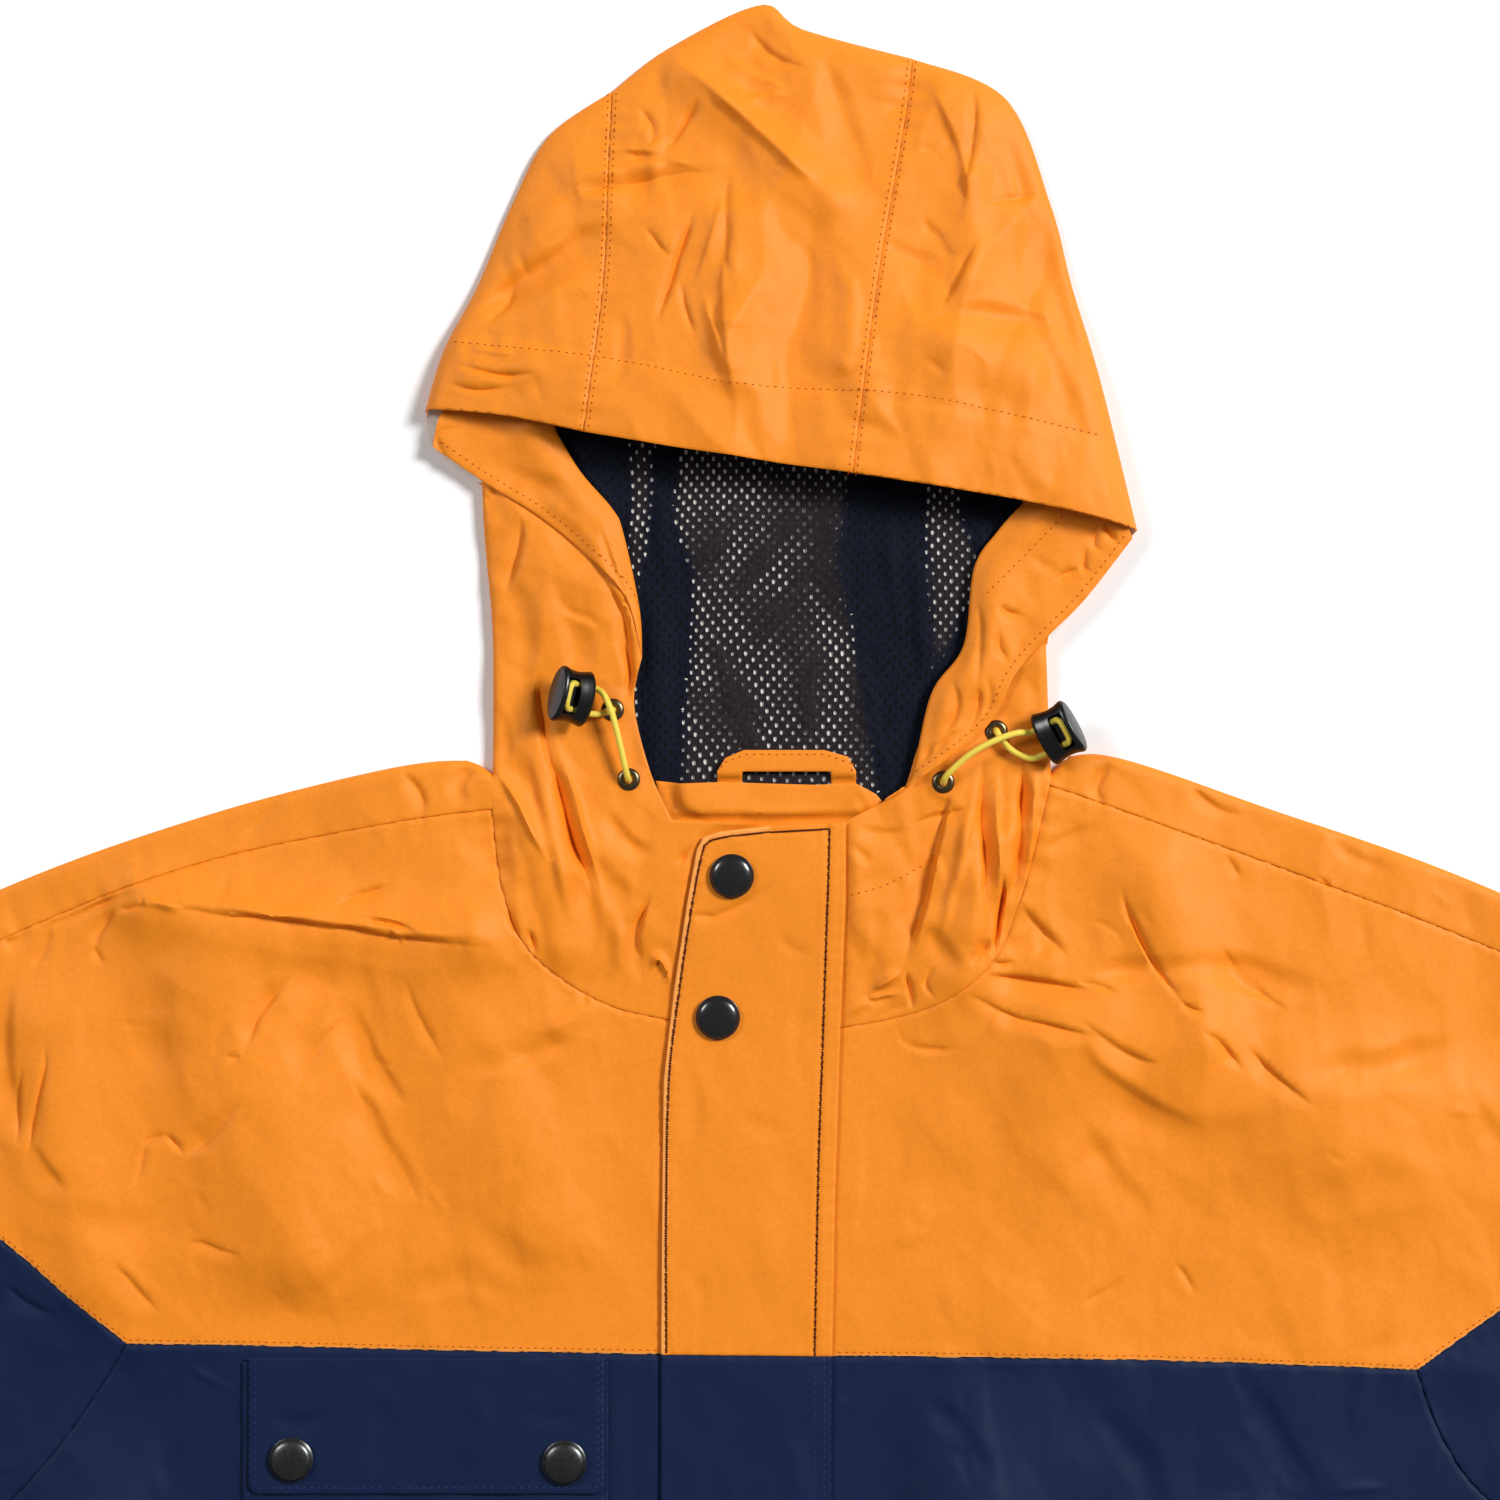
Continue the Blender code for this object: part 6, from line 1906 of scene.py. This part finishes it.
def mesh_holes():
    """Upright oval holes in staggered columns, wandering a little, as 8-point rings."""
    holes = []
    low, high = np.min(MESH_OUTLINE, axis=0) + 2, np.max(MESH_OUTLINE, axis=0) - 2
    for row, y in enumerate(np.arange(low[1], high[1], HOLE_ROW)):
        xs = np.arange(low[0] + (row % 2) * HOLE_PITCH / 2, high[0], HOLE_PITCH)
        middle = np.stack((xs, np.full(len(xs), y)), axis=1)
        middle = middle + np.stack((1.5 * drift(middle, 46, 13), 1.2 * drift(middle, 46, 14)), axis=1)
        middle = middle[inside(middle, MESH_OUTLINE)
                        & (away_from(middle, MESH_OUTLINE + MESH_OUTLINE[:1]) > HOLE_MARGIN)]
        for (x, hole_y), scale in zip(middle, 1 + 0.16 * drift(middle, 14, 15)):
            wide, tall = scale * HOLE_WIDE / 2, scale * HOLE_TALL / 2
            holes.append([(x + wide * math.cos(a), hole_y + tall * math.sin(a))
                          for a in np.arange(8) * math.pi / 4])
    return holes


class JACKET_OT_lining(bpy.types.Operator):
    """Makes the mesh lining with its holes, the neck band and the hang loop"""
    bl_idname = "jacket.lining"
    bl_label = "Mesh lining, neck band and hang loop"

    def execute(self, context):
        outline, _ = dense(MESH_OUTLINE, ())
        xy, tri, where = triangulated(outline, [], mesh_holes())
        # a hole stays open where one layer lies; where there are two its faces stay as the second ply, in a
        # near-black copy of the yarn that is painted shade
        kept = (where == 0) | doubled(xy[tri].mean(axis=1))
        tri, shaded = tri[kept], where[kept] > 0
        height = lining_height(xy)
        height[np.unique(tri[shaded])] -= PLY_DROP
        used, tri = np.unique(tri, return_inverse=True)
        points = np.column_stack((xy, height))[used]
        yarn = finish("navy_knitted_mesh", knitted_lining, context.scene.jacket_colours.lining)
        shade = finish("mesh_in_shade", knitted_lining, linear("020306"))
        made = sheet_object("hood_mesh_cloth", points, tri.reshape(-1, 3), [yarn, shade], 0)
        away = np.min([away_from(points[:, :2], edge + edge[:1]) for edge in LINING_DOUBLED], axis=0)
        # 1 where the yarn is painted paler as lit through one layer, 0 over two
        single_ply_lit = smoothstep(away, 0, 4) * ~doubled(points[:, :2])
        made.data.attributes.new("single_ply_lit", "FLOAT", "POINT").data.foreach_set("value", single_ply_lit)
        made.data.polygons.foreach_set("material_index", shaded.astype(np.int32))
        shell(made, context.scene.jacket_cloth.mesh_wall)
        declare(made, "hood_mesh")
        for node, outline, level in (("neck_band", BAND_OUTLINE, band_height),
                                     ("hang_loop", LOOP_OUTLINE, loop_height)):
            cloth_piece(node, [Layer(outline, level, free=("all",))], [orange_cloth()])
        return {"FINISHED"}


class JACKET_OT_flaps(bpy.types.Operator):
    """Makes the storm flap over the front opening, and the chest pocket with its flap"""
    bl_idname = "jacket.flaps"
    bl_label = "Storm flap and pocket"

    def execute(self, context):
        border = FLAP_UPPER[6:] + FLAP_UPPER[:1]
        upper = Layer(FLAP_UPPER, flap_height, free=("all",))
        # a highlight is painted paler along the flap's border
        cloth_piece("storm_flap_upper", [upper], [orange_cloth()],
                    edge_highlight=[(border, FLAP_HIGHLIGHT)])
        lower = ["flap_waist"] + FLAP_LOWER[1:3]
        for node, outline, level, tucked, under in (
                ("storm_flap_lower", lower, flap_height, ("flap_waist",), "front_body"),
                ("pocket_patch", rounded_foot(POCKET), pocket_height, (), "front_body"),
                ("pocket_flap", rounded_foot(POCKET_FLAP), pocket_flap_height, (), "pocket_patch")):
            layer = Layer(outline, level, tucked=tucked, free=("all",))
            cloth_piece(node, [layer], [navy_cloth()])
        return {"FINISHED"}


class JACKET_OT_stitching(bpy.types.Operator):
    """Sews every visible row of stitches onto the finished cloth"""
    bl_idname = "jacket.stitching"
    bl_label = "Stitching"

    def execute(self, context):
        orange, brown, navy = (finish(name, spun_thread, linear(colour)) for name, colour in (
            ("dark_orange_thread", "B2500F"), ("dark_brown_thread", "5A2410"), ("navy_thread", "2E3D69")))

        def rows(asides, step=2.0):
            return [offset_line(line_of(name, step), aside) for name, aside in asides]

        seams = rows((("yoke_right", 1.6), ("yoke_left", 1.6), ("slant_right", -1.6), ("slant_left", 1.6)))
        stitching("stitching_yoke", ["front_yoke_right", "front_yoke_left", "storm_flap_upper"], seams,
                  orange, [FLAP_UPPER, FLAP_LOWER])
        seams = rows((f"hood_seam_{wearer}", aside) for wearer in WEARERS for aside in (-1.5, 1.5))
        stitching("stitching_hood", ["hood_centre", "hood_side_right", "hood_side_left"],
                  [line_of("channel", 2.0)] + seams, orange)
        edges = rows((("facing_edge_right", 3.3), ("facing_edge_left", -3.0)))
        stitching("stitching_facings", ["hood_facing_right", "hood_facing_left"],
                  edges + [line_of("facing_channel", 2.0)], orange)
        stitching("stitching_neck", ["hood_side_left", "hood_side_right"], [line_of("neck_stitch", 2.0)],
                  orange)
        # the real topstitch is a close dark line; its stitches are drawn thick and close
        sewn = [line_of("flap_stitch_left", 2.0), line_of("flap_stitch_right", 2.0)]
        stitching("stitching_flap", ["storm_flap_upper"], sewn, brown, pitch=0.95,
                  thick=1.7)
        foot = FLAP_END_Y + 2
        sewn = [[(-35, 7), (-35, foot), (24, foot), (24, 7)], [(20.5, 7), (20.5, foot)]]
        stitching("stitching_flap_lower", ["storm_flap_lower"], sewn, navy)
        pockets = [offset_line(np.array(rounded_foot(POCKET)), 2.2),
                   offset_line(np.array(rounded_foot(POCKET_FLAP)), 2.4)]
        stitching("stitching_pocket", ["pocket_flap", "pocket_patch"], pockets, navy)
        stitching("stitching_band", ["neck_band", "hang_loop"], [LOOP_STITCH], orange)
        hems = rows((("hem", 18), ("hem", 21), ("cuff_right", 26), ("cuff_left", -26)), 4.0)
        stitching("stitching_hems", ["front_body", "sleeve_right", "sleeve_left"], hems, navy)
        return {"FINISHED"}


STEPS = (JACKET_OT_stage, JACKET_OT_cords, JACKET_OT_locks, JACKET_OT_eyelets, JACKET_OT_snaps,
         JACKET_OT_body, JACKET_OT_sleeves, JACKET_OT_yokes, JACKET_OT_hood, JACKET_OT_lining,
         JACKET_OT_flaps, JACKET_OT_stitching)


class JACKET_PT_panel(bpy.types.Panel):
    """Lists the jacket's settings and its steps in the sidebar"""
    bl_label = "Smock jacket"
    bl_idname = "JACKET_PT_panel"
    bl_space_type = "VIEW_3D"
    bl_region_type = "UI"
    bl_category = "Jacket"

    def draw(self, context):
        for group in SETTINGS:
            box = self.layout.box()
            for name in SETTINGS[group].__annotations__:
                box.prop(getattr(context.scene, group), name)
        for step in STEPS:
            self.layout.operator(step.bl_idname)


SETTINGS = {"jacket_cloth": ClothSettings, "jacket_colours": ColourSettings, "jacket_stage": StageSettings}


def register():
    for kind in (*SETTINGS.values(), *STEPS, JACKET_PT_panel):
        bpy.utils.register_class(kind)
    for name, kind in SETTINGS.items():
        setattr(bpy.types.Scene, name, PointerProperty(type=kind))


def unregister():
    for name in SETTINGS:
        delattr(bpy.types.Scene, name)
    for kind in reversed((*SETTINGS.values(), *STEPS, JACKET_PT_panel)):
        bpy.utils.unregister_class(kind)


def main():
    register()
    for step in STEPS:
        group, name = step.bl_idname.split(".")
        getattr(getattr(bpy.ops, group), name)()


if __name__ == "__main__":
    main()
